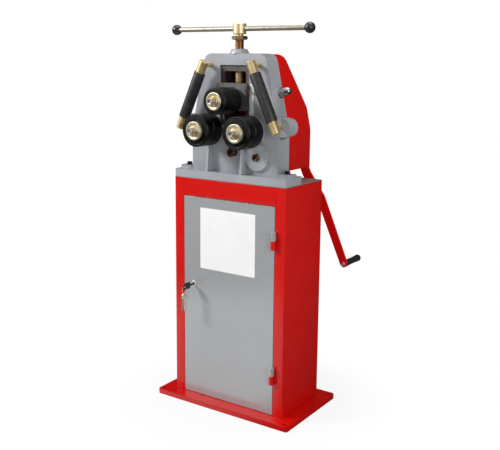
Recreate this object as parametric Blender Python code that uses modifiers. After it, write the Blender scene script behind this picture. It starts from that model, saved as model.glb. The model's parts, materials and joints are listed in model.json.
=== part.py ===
"""Ring roller: a hand-cranked three-roll ring bender on its own cabinet.

Origin at the centre of the base plate's underside, +Z up, +Y towards the back, metres.
"""
import math

import bmesh
import bpy
from mathutils import Matrix, Vector

MM = 0.001

# Clearances and overruns
SEAT_GAP = 0.3 * MM
RUN_GAP = 0.3 * MM
OVERLAP = 1.0 * MM
OVERRUN = 6.0 * MM
MERGE = 0.01 * MM
EDGE_ROUND = 1.0 * MM
FLAT_ANGLE = math.radians(1)

# Facet counts
STEPS_LARGE = 28
STEPS_MEDIUM = 20
STEPS_SMALL = 12
CORNER_STEPS = 3
HEX_SIDES = 6
HALF_TURN = 180
FULL_TURN = 360

# Base plate
BASE_WIDTH = 550 * MM
BASE_DEPTH = 333 * MM
BASE_THICK = 18 * MM
BASE_CORNER = 10 * MM
ANCHOR_HOLE_RADIUS = 7 * MM
ANCHOR_INSET = 19 * MM

# Cabinet of folded sheet
CABINET_WIDTH = 455 * MM
CABINET_DEPTH = 235 * MM
CABINET_HEIGHT = 782 * MM
CABINET_SETBACK = 49 * MM
SHEET = 2 * MM
SHEET_BEND = 3 * MM
STILE_WIDTH = 39.5 * MM
STILE_RETURN = 16 * MM
REAR_FLANGE = 20 * MM
TOP_RAIL_HEIGHT = 64 * MM

# Door, hinges and lock
DOOR_GAP = 1.5 * MM
DOOR_FOLD = 14 * MM
HINGE_RADIUS = 9 * MM
HINGE_HALF_LENGTH = 30 * MM
HINGE_PIN_RADIUS = 5 * MM
HINGE_PIN_CAP = 4 * MM
HINGE_LEAF_REACH = 15 * MM
HINGE_LEAF_THICK = 3 * MM
HINGE_LOW_HEIGHT = 144 * MM
HINGE_HIGH_HEIGHT = 606 * MM
LOCK_INSET = 43 * MM
LOCK_HEIGHT = 406 * MM
LOCK_HEAD_RADIUS = 11 * MM
LOCK_HEAD_PROUD = 2.6 * MM
LOCK_BODY_RADIUS = 9 * MM
LOCK_CORE_RADIUS = 6 * MM
CAM_THICK = 3 * MM
CAM_WIDTH = 16 * MM
CAM_REACH = 58 * MM
KEY_BLADE_HEIGHT = 7.4 * MM
KEY_BLADE_THICK = 2 * MM
KEY_BLADE_SHOWN = 20 * MM
KEY_BLADE_INSIDE = 12 * MM
KEY_BOW_LENGTH = 36 * MM
KEY_BOW_HEIGHT = 24 * MM
KEY_BOW_THICK = 2.5 * MM
KEY_HOLE_RADIUS = 3.6 * MM
KEY_HOLE_INSET = 7 * MM
KEY_RING_RADIUS = 12.5 * MM
KEY_RING_WIRE = 0.8 * MM

# Head casting
FLANGE_THICK = 26.4 * MM
FLANGE_DEPTH = 100 * MM
FLANGE_CORNER = 5 * MM
FOOT_FILLET = 8 * MM
CASTING_SETBACK = 33.5 * MM
CASTING_DEPTH = 68 * MM
CASTING_HALF_WIDTH = 174.6 * MM
CASTING_TOP_HALF_WIDTH = 120 * MM
SHOULDER_HEIGHT = 170 * MM
SHOULDER_ROUND = 60 * MM
CASTING_RISE = 421 * MM
TOP_ROUND = 30 * MM
BOSS_LOW_RADIUS = 33.5 * MM
BOSS_TOP_RADIUS = 25.5 * MM
BOSS_HEIGHT = 14.5 * MM
CASTING_WALL = 14 * MM
CASTING_FRONT_WALL = 20 * MM
POCKET_FLOOR = 22 * MM
POCKET_CEILING = 50 * MM
POCKET_ROUND = 12 * MM
PAD_WIDTH = 50 * MM
PAD_DEPTH = 40 * MM
PAD_HEIGHT = 10.5 * MM
PAD_ROUND = 6 * MM
FLANGE_SCREW_INSET = 26.5 * MM
FLANGE_SCREW_SETBACK = 50 * MM
FLANGE_SCREW_RADIUS = 6 * MM
FLANGE_SCREW_HEAD_RADIUS = 9 * MM
FLANGE_SCREW_HEAD_HEIGHT = 10 * MM
FLANGE_SCREW_LENGTH = 55 * MM
SOCKET_RADIUS = 5.6 * MM
SOCKET_DEPTH = 6 * MM
RIB_THICK = 9 * MM
RIB_LEFT_PLACE = 92 * MM
RIB_RIGHT_PLACE = 47 * MM
RIB_RISE = 104 * MM
RIB_TOP_PROUD = 22 * MM
RIB_FOOT_PROUD = 31 * MM

# Window and slide way in the casting
WINDOW_HALF_WIDTH = 43.5 * MM
WINDOW_TOP_DROP = 57.5 * MM
WINDOW_BOTTOM_DROP = 231 * MM
WINDOW_ROUND = 9 * MM
RAIL_WIDTH = 18 * MM
WAY_HALF_WIDTH = 58.5 * MM
WAY_DEPTH = 6 * MM
WAY_TOP_MARGIN = 19.5 * MM
WAY_BOTTOM_MARGIN = 4 * MM

# Gear train: pinion on the crank shaft, a gear on each lower roll shaft, an idler between them
GEAR_MODULE = 4 * MM
PRESSURE_ANGLE = math.radians(20)
PINION_TEETH = 14
ROLL_GEAR_TEETH = 29
IDLER_TEETH = 26
GEAR_WIDTH = 24 * MM
TOOTH_THINNING = 0.2 * MM
GEAR_SETBACK = 1.5 * MM
ADDENDUM_SHARE = 1.0
DEDENDUM_SHARE = 1.25
FLANK_SHARES = (0.0, 0.5, 1.0)
CRANK_LEAN = math.radians(9.84)

# Rolls and their shafts
ROLL_SPACING = 162.6 * MM
LOWER_ROLL_RISE = 143.6 * MM
LOWER_ROLL_RADIUS = 53.8 * MM
UPPER_ROLL_RISE = 98.5 * MM
UPPER_ROLL_RADIUS = 44.2 * MM
ROLL_LENGTH = 81 * MM
UPPER_ROLL_LENGTH = 92 * MM
ROLL_EDGE = 3 * MM
ROLL_GROOVE_SETBACK = 37 * MM
ROLL_GROOVE_WIDTH = 4 * MM
ROLL_RUNNING_GAP = 1.5 * MM
ROLL_BOSS_RADIUS = 46 * MM
ROLL_BOSS_PROUD = 24 * MM
SHAFT_RADIUS = 16 * MM
BUSH_WALL = 6 * MM
ROLL_WASHER_RADIUS = 30.5 * MM
ROLL_WASHER_THICK = 10.5 * MM
UPPER_WASHER_RADIUS = 29 * MM
UPPER_WASHER_THICK = 5.5 * MM
ROLL_SCREW_RADIUS = 11 * MM
ROLL_SCREW_HEIGHT = 22 * MM
SHAFT_END_STANDOUT = 4 * MM
SHAFT_END_RADIUS = 22 * MM

# Crank shaft, its front disc and the idler's axle
CRANK_BOSS_RADIUS = 45 * MM
CRANK_BOSS_PROUD = 9.5 * MM
CRANK_SHAFT_RADIUS = 14 * MM
CRANK_SCREW_RADIUS = 12 * MM
CRANK_SCREW_PROUD = 7 * MM
IDLER_HEAD_RADIUS = 14.8 * MM
IDLER_HEAD_PROUD = 20.7 * MM
IDLER_AXLE_RADIUS = 12 * MM
AXLE_HEAD_THICK = 4 * MM

# Gear cover
COVER_REACH = 145 * MM
COVER_WALL = 2 * MM
COVER_INSET = 1.2 * MM
COVER_BOTTOM_RISE = 12.6 * MM
COVER_SLOPE_RISE = 209 * MM
COVER_TOP_REACH = 46.5 * MM
COVER_ROUND = 5 * MM
COVER_SHAFT_HOLE_GAP = 3 * MM
CAP_NUT_RISE = 269 * MM
CAP_NUT_SETBACK = 53.5 * MM
CAP_WASHER_RADIUS = 18 * MM
CAP_WASHER_THICK = 2.5 * MM
CAP_HEX_WIDTH = 30 * MM
CAP_HEX_HEIGHT = 15 * MM
CAP_DOME_HEIGHT = 23 * MM
CAP_DOME_RADIUS = 14 * MM
CAP_TIP_RADIUS = 5 * MM
CAP_STUD_RADIUS = 6 * MM
CAP_STUD_LENGTH = 20 * MM

# Slide block that carries the upper roll
SLIDE_HALF_WIDTH = 58 * MM
SLIDE_PROUD = 13.5 * MM
SLIDE_BELOW_ROLL = 33.5 * MM
SLIDE_ABOVE_ROLL = 56.5 * MM
SLIDE_ROUND = 7 * MM
SLIDE_REAR_DROP = 13 * MM
UPPER_BOSS_RADIUS = 38 * MM
UPPER_BOSS_PROUD = 18 * MM
UPPER_SHAFT_RADIUS = 15 * MM
KEEPER_THICK = 6 * MM
RETAINER_RADIUS = 16 * MM
RETAINER_THICK = 8 * MM
POINTER_REACH = 18 * MM
POINTER_BASE = 2.5 * MM
POINTER_HEIGHT = 10 * MM
POINTER_THICK = 2 * MM
POINTER_RISE = 32.5 * MM
SCALE_WIDTH = 16 * MM
SCALE_HEIGHT = 103 * MM
SCALE_THICK = 1 * MM
SCALE_BOTTOM_DROP = 48.5 * MM
SCALE_OFFSET = 4 * MM

# Spindle
SPINDLE_SETBACK = 29.5 * MM
SPINDLE_RADIUS = 15 * MM
SPINDLE_PLAIN_RADIUS = 12.8 * MM
SPINDLE_THREAD_RISE = 45 * MM
NECK_RADIUS = 9 * MM
COLLAR_RADIUS = 13 * MM
COLLAR_THICK = 8 * MM
COLLAR_DEPTH = 14 * MM
NUT_RADIUS = 20 * MM
NUT_LENGTH = 48 * MM
NUT_PROUD = 1 * MM
LOCK_NUT_RISE = 30 * MM
LOCK_NUT_WIDTH = 46 * MM
LOCK_NUT_THICK = 12.3 * MM
HEAD_NECK_RADIUS = 12 * MM
HEAD_NECK_HEIGHT = 5.8 * MM
HEAD_RADIUS = 22 * MM
HEAD_HEIGHT = 35 * MM
HEAD_EDGE = 2 * MM
TENON_RADIUS = 9 * MM
TENON_LENGTH = 7 * MM
BAR_RADIUS = 8 * MM
BAR_DROP = 17.8 * MM
BAR_SPAN = 530 * MM
BALL_RADIUS = 18 * MM
BALL_SOCKET_DEPTH = 14 * MM

# Guide rollers
GUIDE_TOP_PLACE = 97.5 * MM
GUIDE_TOP_RISE = 356.6 * MM
LUG_PLACE = 188.5 * MM
LUG_RISE = 159.6 * MM
LUG_RADIUS = 31 * MM
LUG_DEPTH = 48.5 * MM
LUG_PROUD = 1.5 * MM
LUG_STUD_INSET = 3 * MM
GUIDE_STANDOFF = 42.5 * MM
STUD_RADIUS = 7.5 * MM
STUD_SEAT = 46 * MM
GUIDE_COLLAR_RADIUS = 15.5 * MM
GUIDE_COLLAR_LENGTH = 42 * MM
UPPER_COLLAR_DROP = 8 * MM
GUIDE_SLEEVE_RADIUS = 19 * MM
GUIDE_ROD_RADIUS = 8 * MM

# Crank
HUB_OUTER_RADIUS = 20 * MM
HUB_START = 2.5 * MM
HUB_LENGTH = 54 * MM
ARM_ANGLE = math.radians(23.55)
ARM_THICK = 8 * MM
ARM_ROOT_WIDTH = 34 * MM
ARM_TIP_WIDTH = 28 * MM
ARM_RADIUS = 434 * MM
ARM_BEND_START = 90 * MM
ARM_BEND_END = 186 * MM
ARM_BEND_STEP = 38 * MM
GRIP_RADIUS = 12.5 * MM
GRIP_LENGTH = 110 * MM
GRIP_WAIST_RADIUS = 11 * MM
GRIP_BOLT_RADIUS = 4 * MM
GRIP_BOLT_HEAD_RADIUS = 6.5 * MM
GRIP_BOLT_HEAD_THICK = 4 * MM
GRIP_END_WALL = 8 * MM

# Places that follow from the sizes above
CABINET_FRONT = -BASE_DEPTH / 2 + CABINET_SETBACK
CABINET_BACK = CABINET_FRONT + CABINET_DEPTH
CABINET_TOP = BASE_THICK + CABINET_HEIGHT
CABINET_HALF = CABINET_WIDTH / 2
OPENING_HALF = CABINET_HALF - STILE_WIDTH
FLANGE_SCREW_X = CABINET_HALF - FLANGE_SCREW_INSET
FLANGE_SCREW_Y = CABINET_FRONT + FLANGE_SCREW_SETBACK
FLANGE_BOTTOM = CABINET_TOP + SEAT_GAP
FLANGE_TOP = FLANGE_BOTTOM + FLANGE_THICK
FACE_Y = CABINET_FRONT + CASTING_SETBACK
REAR_Y = FACE_Y + CASTING_DEPTH
CASTING_TOP = FLANGE_TOP + CASTING_RISE - FLANGE_THICK
SPINDLE_Y = FACE_Y + SPINDLE_SETBACK
ROLL_X = ROLL_SPACING / 2
LOWER_ROLL_Z = FLANGE_TOP + LOWER_ROLL_RISE
UPPER_ROLL_Z = LOWER_ROLL_Z + UPPER_ROLL_RISE
ROLL_REAR = FACE_Y - ROLL_BOSS_PROUD - ROLL_RUNNING_GAP
ROLL_FRONT = ROLL_REAR - ROLL_LENGTH
UPPER_ROLL_REAR = FACE_Y - UPPER_BOSS_PROUD - ROLL_RUNNING_GAP
UPPER_ROLL_FRONT = UPPER_ROLL_REAR - UPPER_ROLL_LENGTH
ROLL_MESH_DISTANCE = GEAR_MODULE * (ROLL_GEAR_TEETH + IDLER_TEETH) / 2
CRANK_MESH_DISTANCE = GEAR_MODULE * (ROLL_GEAR_TEETH + PINION_TEETH) / 2
IDLER_Z = LOWER_ROLL_Z - math.sqrt(ROLL_MESH_DISTANCE**2 - ROLL_X**2)
CRANK_X = ROLL_X + CRANK_MESH_DISTANCE * math.sin(CRANK_LEAN)
CRANK_Z = LOWER_ROLL_Z - CRANK_MESH_DISTANCE * math.cos(CRANK_LEAN)
KEEPER_FRONT = REAR_Y + 2 * RUN_GAP
KEEPER_REAR = KEEPER_FRONT + KEEPER_THICK
GEAR_FRONT = KEEPER_REAR + GEAR_SETBACK
GEAR_REAR = GEAR_FRONT + GEAR_WIDTH
COVER_FRONT = REAR_Y + SEAT_GAP
COVER_REAR = REAR_Y + COVER_REACH
COVER_BOTTOM = FLANGE_TOP + COVER_BOTTOM_RISE
WINDOW_TOP = CASTING_TOP - WINDOW_TOP_DROP
WINDOW_BOTTOM = CASTING_TOP - WINDOW_BOTTOM_DROP
WAY_TOP = WINDOW_TOP + WAY_TOP_MARGIN
WAY_BOTTOM = WINDOW_BOTTOM - WAY_BOTTOM_MARGIN
SLIDE_BOTTOM = UPPER_ROLL_Z - SLIDE_BELOW_ROLL
SLIDE_TOP = UPPER_ROLL_Z + SLIDE_ABOVE_ROLL
SLIDE_REAR_TOP = SLIDE_TOP - SLIDE_REAR_DROP
SLIDE_FRONT = FACE_Y - SLIDE_PROUD
COLLAR_TOP = SLIDE_REAR_TOP - COLLAR_DEPTH
BOSS_TOP = CASTING_TOP + BOSS_HEIGHT
LOCK_NUT_BOTTOM = BOSS_TOP + LOCK_NUT_RISE
HEAD_BOTTOM = LOCK_NUT_BOTTOM + LOCK_NUT_THICK + HEAD_NECK_HEIGHT
HEAD_TOP = HEAD_BOTTOM + HEAD_HEIGHT
BAR_Z = HEAD_TOP - BAR_DROP
HINGE_X = OPENING_HALF
HINGE_Y = CABINET_FRONT - HINGE_RADIUS
LOCK_X = -OPENING_HALF + LOCK_INSET
LOCK_Z = BASE_THICK + LOCK_HEIGHT
GUIDE_Y = FACE_Y - GUIDE_STANDOFF
HUB_FRONT = COVER_REAR + HUB_START
ARM_Y = HUB_FRONT + HUB_LENGTH - ARM_THICK


# Scene and object helpers

def clear_scene():
    for obj in list(bpy.data.objects):
        bpy.data.objects.remove(obj)


def new_collection(name):
    collection = bpy.data.collections.new(name)
    bpy.context.scene.collection.children.link(collection)
    return collection


clear_scene()
PARTS = new_collection("Ring roller")
CUTTERS = new_collection("Cutters")


def material(name, color, roughness, metallic):
    """A Principled material with the piece's own colour, kept once under its name."""
    made = bpy.data.materials.get(name)
    if made is None:
        made = bpy.data.materials.new(name)
        made.use_nodes = True
        shader = made.node_tree.nodes["Principled BSDF"]
        shader.inputs["Base Color"].default_value = (*color, 1)
        shader.inputs["Roughness"].default_value = roughness
        shader.inputs["Metallic"].default_value = metallic
        made.diffuse_color = (*color, 1)
    return made


def red_paint():
    return material("red paint", (0.62, 0.03, 0.02), 0.3, 0)


def grey_paint():
    return material("grey paint", (0.42, 0.44, 0.47), 0.4, 0)


def oiled_steel():
    return material("oiled black steel", (0.03, 0.03, 0.035), 0.35, 1)


def bright_steel():
    return material("bright steel", (0.55, 0.54, 0.52), 0.3, 1)


def yellow_zinc():
    return material("yellow zinc", (0.58, 0.42, 0.17), 0.35, 1)


def bronze():
    return material("bronze", (0.45, 0.25, 0.12), 0.4, 1)


def copper_brown():
    return material("copper brown", (0.3, 0.13, 0.08), 0.45, 1)


def chrome():
    return material("chrome", (0.8, 0.8, 0.8), 0.12, 1)


def black_plastic():
    return material("black plastic", (0.015, 0.015, 0.016), 0.35, 0)


def slide_steel():
    return material("greased slide steel", (0.3, 0.27, 0.24), 0.4, 1)


def panel_grey():
    return material("primed panel", (0.3, 0.27, 0.25), 0.6, 0)


def new_object(name, mesh, paint):
    """Links a mesh as a named part, or as a helper when it has no material."""
    obj = bpy.data.objects.new(name, mesh)
    if paint is None:
        CUTTERS.objects.link(obj)
        obj.hide_render = True
        obj.display_type = "WIRE"
    else:
        PARTS.objects.link(obj)
        mesh.materials.append(paint)
    return obj


def boolean(target, other, operation):
    modifier = target.modifiers.new(other.name, "BOOLEAN")
    modifier.operation = operation
    modifier.object = other
    modifier.solver = "EXACT"
    return target


def cut(target, *cutters):
    for cutter in cutters:
        boolean(target, cutter, "DIFFERENCE")
    return target


def join(target, *others):
    for other in others:
        boolean(target, other, "UNION")
    return target


def bevel(obj, width, segments=2):
    modifier = obj.modifiers.new("Edges", "BEVEL")
    modifier.width = width
    modifier.segments = segments
    modifier.limit_method = "ANGLE"
    return obj


def joint_empty(name, location):
    empty = bpy.data.objects.new(name, None)
    empty.location = location
    PARTS.objects.link(empty)
    return empty


def hang_on(empty, pieces):
    """Parents pieces to a joint's empty and keeps them where they are."""
    bpy.context.view_layer.update()
    for piece in pieces:
        piece.parent = empty
        piece.matrix_parent_inverse = empty.matrix_world.inverted()


# Shape helpers

def axis_turn(axis):
    """The rotation that lays local Z along a world axis, or along any direction."""
    if axis == "Z":
        return Matrix.Identity(4)
    if axis == "Y":
        return Matrix.Rotation(-math.pi / 2, 4, "X")
    if axis == "X":
        return Matrix.Rotation(math.pi / 2, 4, "Y")
    return Vector(axis).to_track_quat("Z", "Y").to_matrix().to_4x4()


def turned(name, profile, paint, place=(0, 0, 0), axis="Z", steps=STEPS_MEDIUM):
    """Turns a profile of (radius, height) points, which runs down its outer side."""
    mesh = bpy.data.meshes.new(name)
    last = len(profile) - 1
    edges = [(i, i + 1) for i in range(last)]
    if profile[0][0] > 0:
        edges.append((last, 0))
    mesh.from_pydata([(radius, 0, height) for radius, height in profile], edges, [])
    obj = new_object(name, mesh, paint)
    obj.matrix_world = Matrix.Translation(place) @ axis_turn(axis)
    screw = obj.modifiers.new("Turn", "SCREW")
    screw.steps = steps
    screw.render_steps = steps
    screw.use_merge_vertices = True
    screw.merge_threshold = MERGE
    return obj


def rod_profile(radius, low, high, edge=0):
    """A solid cylinder's profile, with its edges chamfered when edge is given."""
    if edge == 0:
        return [(0, high), (radius, high), (radius, low), (0, low)]
    return [
        (0, high), (radius - edge, high), (radius, high - edge),
        (radius, low + edge), (radius - edge, low), (0, low),
    ]


def ring_profile(outer, inner, low, high, edge=0):
    """A tube's profile, with its outer edges chamfered when edge is given."""
    if edge == 0:
        return [(outer, high), (outer, low), (inner, low), (inner, high)]
    return [
        (outer - edge, high), (outer, high - edge), (outer, low + edge),
        (outer - edge, low), (inner, low), (inner, high),
    ]


def arc(u, v, radius, start, end, steps=CORNER_STEPS):
    """Points on a circle from one angle to another, in degrees."""
    angles = [math.radians(start + (end - start) * i / steps) for i in range(steps + 1)]
    return [(u + radius * math.cos(a), v + radius * math.sin(a)) for a in angles]


def rounded(corners, radii, steps=CORNER_STEPS):
    """A polygon with each corner rounded. radii is one radius, or one for each corner."""
    if not isinstance(radii, (list, tuple)):
        radii = [radii] * len(corners)
    points = []
    for i, radius in enumerate(radii):
        here = Vector(corners[i])
        before = (Vector(corners[i - 1]) - here).normalized()
        after = (Vector(corners[(i + 1) % len(corners)]) - here).normalized()
        if radius == 0:
            points.append(tuple(here))
            continue
        half = before.angle(after) / 2
        centre = here + (before + after).normalized() * radius / math.sin(half)
        first = here + before * radius / math.tan(half) - centre
        sweep = first.angle_signed(here + after * radius / math.tan(half) - centre)
        for step in range(steps + 1):
            spoke = first.copy()
            spoke.rotate(Matrix.Rotation(-sweep * step / steps, 2))
            points.append(tuple(centre + spoke))
    return points


def rectangle(low_u, high_u, low_v, high_v, radius=0):
    corners = [(low_u, low_v), (high_u, low_v), (high_u, high_v), (low_u, high_v)]
    return rounded(corners, radius)


def regular(sides, width):
    """A regular polygon with the given width across its flats."""
    reach = width / 2 / math.cos(math.pi / sides)
    angles = [2 * math.pi * i / sides for i in range(sides)]
    return [(reach * math.cos(a), reach * math.sin(a)) for a in angles]


def circle(u, v, radius, steps=STEPS_MEDIUM):
    angles = [2 * math.pi * i / steps for i in range(steps)]
    return [(u + radius * math.cos(a), v + radius * math.sin(a)) for a in angles]


PLATE_TURNS = {
    "Z": Matrix.Identity(4),
    "Y": Matrix.Rotation(math.pi / 2, 4, "X"),
    "X": Matrix(((0, 0, 1, 0), (1, 0, 0, 0), (0, 1, 0, 0), (0, 0, 0, 1))),
}


def plate(name, outlines, low, high, paint, axis="Z", place=(0, 0, 0)):
    """A flat outline with its holes, as thick as from low to high along an axis.

    The outline is seen from above for Z, from the front for Y and from the right for X.
    """
    curve = bpy.data.curves.new(name, "CURVE")
    curve.dimensions = "2D"
    curve.fill_mode = "BOTH"
    curve.extrude = (high - low) / 2
    for outline in outlines:
        spline = curve.splines.new("POLY")
        spline.points.add(len(outline) - 1)
        for point, (u, v) in zip(spline.points, outline):
            point.co = (u, v, 0, 1)
        spline.use_cyclic_u = True
    flat = bpy.data.objects.new(name, curve)
    bpy.context.scene.collection.objects.link(flat)
    middle = Vector(place)
    middle["XYZ".index(axis)] += (low + high) / 2
    matrix = Matrix.Translation(middle) @ PLATE_TURNS[axis]
    graph = bpy.context.evaluated_depsgraph_get()
    mesh = bpy.data.meshes.new_from_object(flat.evaluated_get(graph))
    bpy.data.objects.remove(flat)
    welded = bmesh.new()
    welded.from_mesh(mesh)
    bmesh.ops.remove_doubles(welded, verts=welded.verts, dist=MERGE)
    bmesh.ops.recalc_face_normals(welded, faces=welded.faces)
    welded.to_mesh(mesh)
    welded.free()
    mesh.materials.clear()
    obj = new_object(name, mesh, paint)
    obj.matrix_world = matrix
    return obj


def box(name, low, high, paint=None):
    """A box between two corners."""
    low, high = Vector(low), Vector(high)
    mesh = bpy.data.meshes.new(name)
    cube = bmesh.new()
    bmesh.ops.create_cube(cube, size=1)
    bmesh.ops.scale(cube, vec=high - low, verts=cube.verts)
    cube.to_mesh(mesh)
    cube.free()
    obj = new_object(name, mesh, paint)
    obj.location = (low + high) / 2
    return obj


def hole(name, radius, low, high, place, axis, steps=STEPS_MEDIUM):
    """A round cutter, or a boss that is joined, from low to high along an axis."""
    return turned(name, rod_profile(radius, low, high), None, place, axis, steps)


# Base and cabinet

def base_plate():
    outline = rectangle(-BASE_WIDTH / 2, BASE_WIDTH / 2, -BASE_DEPTH / 2, BASE_DEPTH / 2, BASE_CORNER)
    base = bevel(plate("base_plate", [outline], 0, BASE_THICK, red_paint()), EDGE_ROUND, 1)
    x = BASE_WIDTH / 2 - ANCHOR_INSET
    y = BASE_DEPTH / 2 - ANCHOR_INSET
    for i, (side, end) in enumerate(((-1, -1), (1, -1), (1, 1), (-1, 1))):
        place = (side * x, end * y, 0)
        cut(base, hole(
            f"anchor_hole_{i}", ANCHOR_HOLE_RADIUS, -OVERRUN, BASE_THICK + OVERRUN, place, "Z", STEPS_SMALL
        ))
    return base


def cabinet_side(name, side):
    """One side with its front stile, the stile's return and the rear flange, folded from one sheet."""
    rear = CABINET_BACK - SHEET - SEAT_GAP
    inner = CABINET_HALF - SHEET
    stile = CABINET_FRONT + SHEET
    corners = [
        (OPENING_HALF, CABINET_FRONT + STILE_RETURN),
        (OPENING_HALF, CABINET_FRONT),
        (CABINET_HALF, CABINET_FRONT),
        (CABINET_HALF, rear),
        (CABINET_HALF - REAR_FLANGE, rear),
        (CABINET_HALF - REAR_FLANGE, rear - SHEET),
        (inner, rear - SHEET),
        (inner, stile),
        (OPENING_HALF + SHEET, stile),
        (OPENING_HALF + SHEET, CABINET_FRONT + STILE_RETURN),
    ]
    outer_bend = SHEET_BEND
    inner_bend = SHEET_BEND - SHEET
    radii = [0, inner_bend, outer_bend, outer_bend, 0, 0, inner_bend, inner_bend, 0, 0]
    outline = [(side * x, y) for x, y in rounded(corners, radii)]
    low = BASE_THICK + SEAT_GAP
    high = CABINET_TOP - SHEET - SEAT_GAP
    return plate(name, [outline], low, high, red_paint())


def cabinet_back():
    low = BASE_THICK + SEAT_GAP
    high = CABINET_TOP - SHEET - SEAT_GAP
    outline = rectangle(-CABINET_HALF, CABINET_HALF, low, high)
    return plate("cabinet_back", [outline], CABINET_BACK - SHEET, CABINET_BACK, red_paint(), "Y")


def cabinet_top():
    outline = rectangle(-CABINET_HALF, CABINET_HALF, CABINET_FRONT, CABINET_BACK, SHEET_BEND)
    bore = FLANGE_SCREW_RADIUS + SEAT_GAP
    holes = [circle(side * FLANGE_SCREW_X, FLANGE_SCREW_Y, bore, STEPS_SMALL) for side in (-1, 1)]
    return plate("cabinet_top", [outline, *holes], CABINET_TOP - SHEET, CABINET_TOP, panel_grey())


def cabinet_top_rail():
    """The rail over the door: a front sheet with a folded lower edge."""
    bottom = CABINET_TOP - TOP_RAIL_HEIGHT
    top = CABINET_TOP - SHEET - SEAT_GAP
    front = CABINET_FRONT
    back = CABINET_FRONT + STILE_RETURN
    corners = [
        (front, bottom), (back, bottom), (back, bottom + SHEET),
        (front + SHEET, bottom + SHEET), (front + SHEET, top), (front, top),
    ]
    outline = rounded(corners, [SHEET_BEND, 0, 0, SHEET_BEND - SHEET, 0, 0])
    half = OPENING_HALF - SEAT_GAP
    return plate("cabinet_top_rail", [outline], -half, half, red_paint(), "X")


# Door, hinges and lock

def door_panel():
    """A folded tray, open at the back, with the lock's hole."""
    half = OPENING_HALF - DOOR_GAP
    bottom = BASE_THICK + DOOR_GAP
    top = CABINET_TOP - TOP_RAIL_HEIGHT - DOOR_GAP
    outline = rectangle(-half, half, bottom, top)
    inside = rectangle(-half + SHEET, half - SHEET, bottom + SHEET, top - SHEET)
    back = CABINET_FRONT + DOOR_FOLD
    door = plate("door_panel", [outline], CABINET_FRONT, back, grey_paint(), "Y")
    tray = plate("door_tray", [inside], CABINET_FRONT + SHEET, back + OVERRUN, None, "Y")
    lock = hole(
        "door_lock_hole", LOCK_BODY_RADIUS + SEAT_GAP, CABINET_FRONT - OVERRUN,
        back, (LOCK_X, 0, LOCK_Z), "Y", STEPS_SMALL,
    )
    return cut(door, tray, lock)


def hinge_leaf(name, low, high, side):
    """The flat that welds a hinge half to the door or to the stile."""
    inner = HINGE_X + side * HINGE_LEAF_REACH
    leaf_low = CABINET_FRONT - SEAT_GAP - HINGE_LEAF_THICK
    corner_low = (min(HINGE_X, inner), leaf_low, low)
    corner_high = (max(HINGE_X, inner), CABINET_FRONT - SEAT_GAP, high)
    return box(name, corner_low, corner_high)


def hinge_frame_half(name, split):
    """The half on the stile, with the pin that the door lifts off."""
    low = split - HINGE_HALF_LENGTH
    pin_top = split + HINGE_HALF_LENGTH - HINGE_PIN_CAP
    profile = [
        (0, pin_top), (HINGE_PIN_RADIUS, pin_top), (HINGE_PIN_RADIUS, split - RUN_GAP),
        (HINGE_RADIUS - EDGE_ROUND, split - RUN_GAP), (HINGE_RADIUS, split - RUN_GAP - EDGE_ROUND),
        (HINGE_RADIUS, low + EDGE_ROUND),
        (HINGE_RADIUS - EDGE_ROUND, low), (0, low),
    ]
    half = turned(name, profile, red_paint(), (HINGE_X, HINGE_Y, 0), steps=STEPS_SMALL)
    leaf = hinge_leaf(name + "_leaf", low + EDGE_ROUND, split - RUN_GAP - EDGE_ROUND, 1)
    return join(half, leaf)


def hinge_door_half(name, split):
    """The half on the door, bored from below for the pin and closed on top."""
    high = split + HINGE_HALF_LENGTH
    bore = HINGE_PIN_RADIUS + RUN_GAP
    roof = high - HINGE_PIN_CAP + RUN_GAP
    profile = [
        (0, high), (HINGE_RADIUS - EDGE_ROUND, high), (HINGE_RADIUS, high - EDGE_ROUND),
        (HINGE_RADIUS, split + EDGE_ROUND), (HINGE_RADIUS - EDGE_ROUND, split),
        (bore, split), (bore, roof), (0, roof),
    ]
    half = turned(name, profile, grey_paint(), (HINGE_X, HINGE_Y, 0), steps=STEPS_SMALL)
    leaf = hinge_leaf(name + "_leaf", split + EDGE_ROUND, high - EDGE_ROUND, -1)
    socket = hole(name + "_socket", bore, split - OVERRUN, roof, (HINGE_X, HINGE_Y, 0), "Z", STEPS_SMALL)
    return cut(join(half, leaf), socket)


def lock_barrel():
    front = CABINET_FRONT - LOCK_HEAD_PROUD - SEAT_GAP
    seat = CABINET_FRONT - SEAT_GAP
    back = CABINET_FRONT + STILE_RETURN + RUN_GAP
    bore = LOCK_CORE_RADIUS + RUN_GAP
    profile = [
        (LOCK_BODY_RADIUS, back), (LOCK_BODY_RADIUS, seat), (LOCK_HEAD_RADIUS, seat),
        (LOCK_HEAD_RADIUS, front + EDGE_ROUND), (LOCK_HEAD_RADIUS - EDGE_ROUND, front),
        (bore, front), (bore, back),
    ]
    place = (LOCK_X, 0, LOCK_Z)
    return turned("lock_barrel", profile, bright_steel(), place, "Y", STEPS_SMALL)


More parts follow.
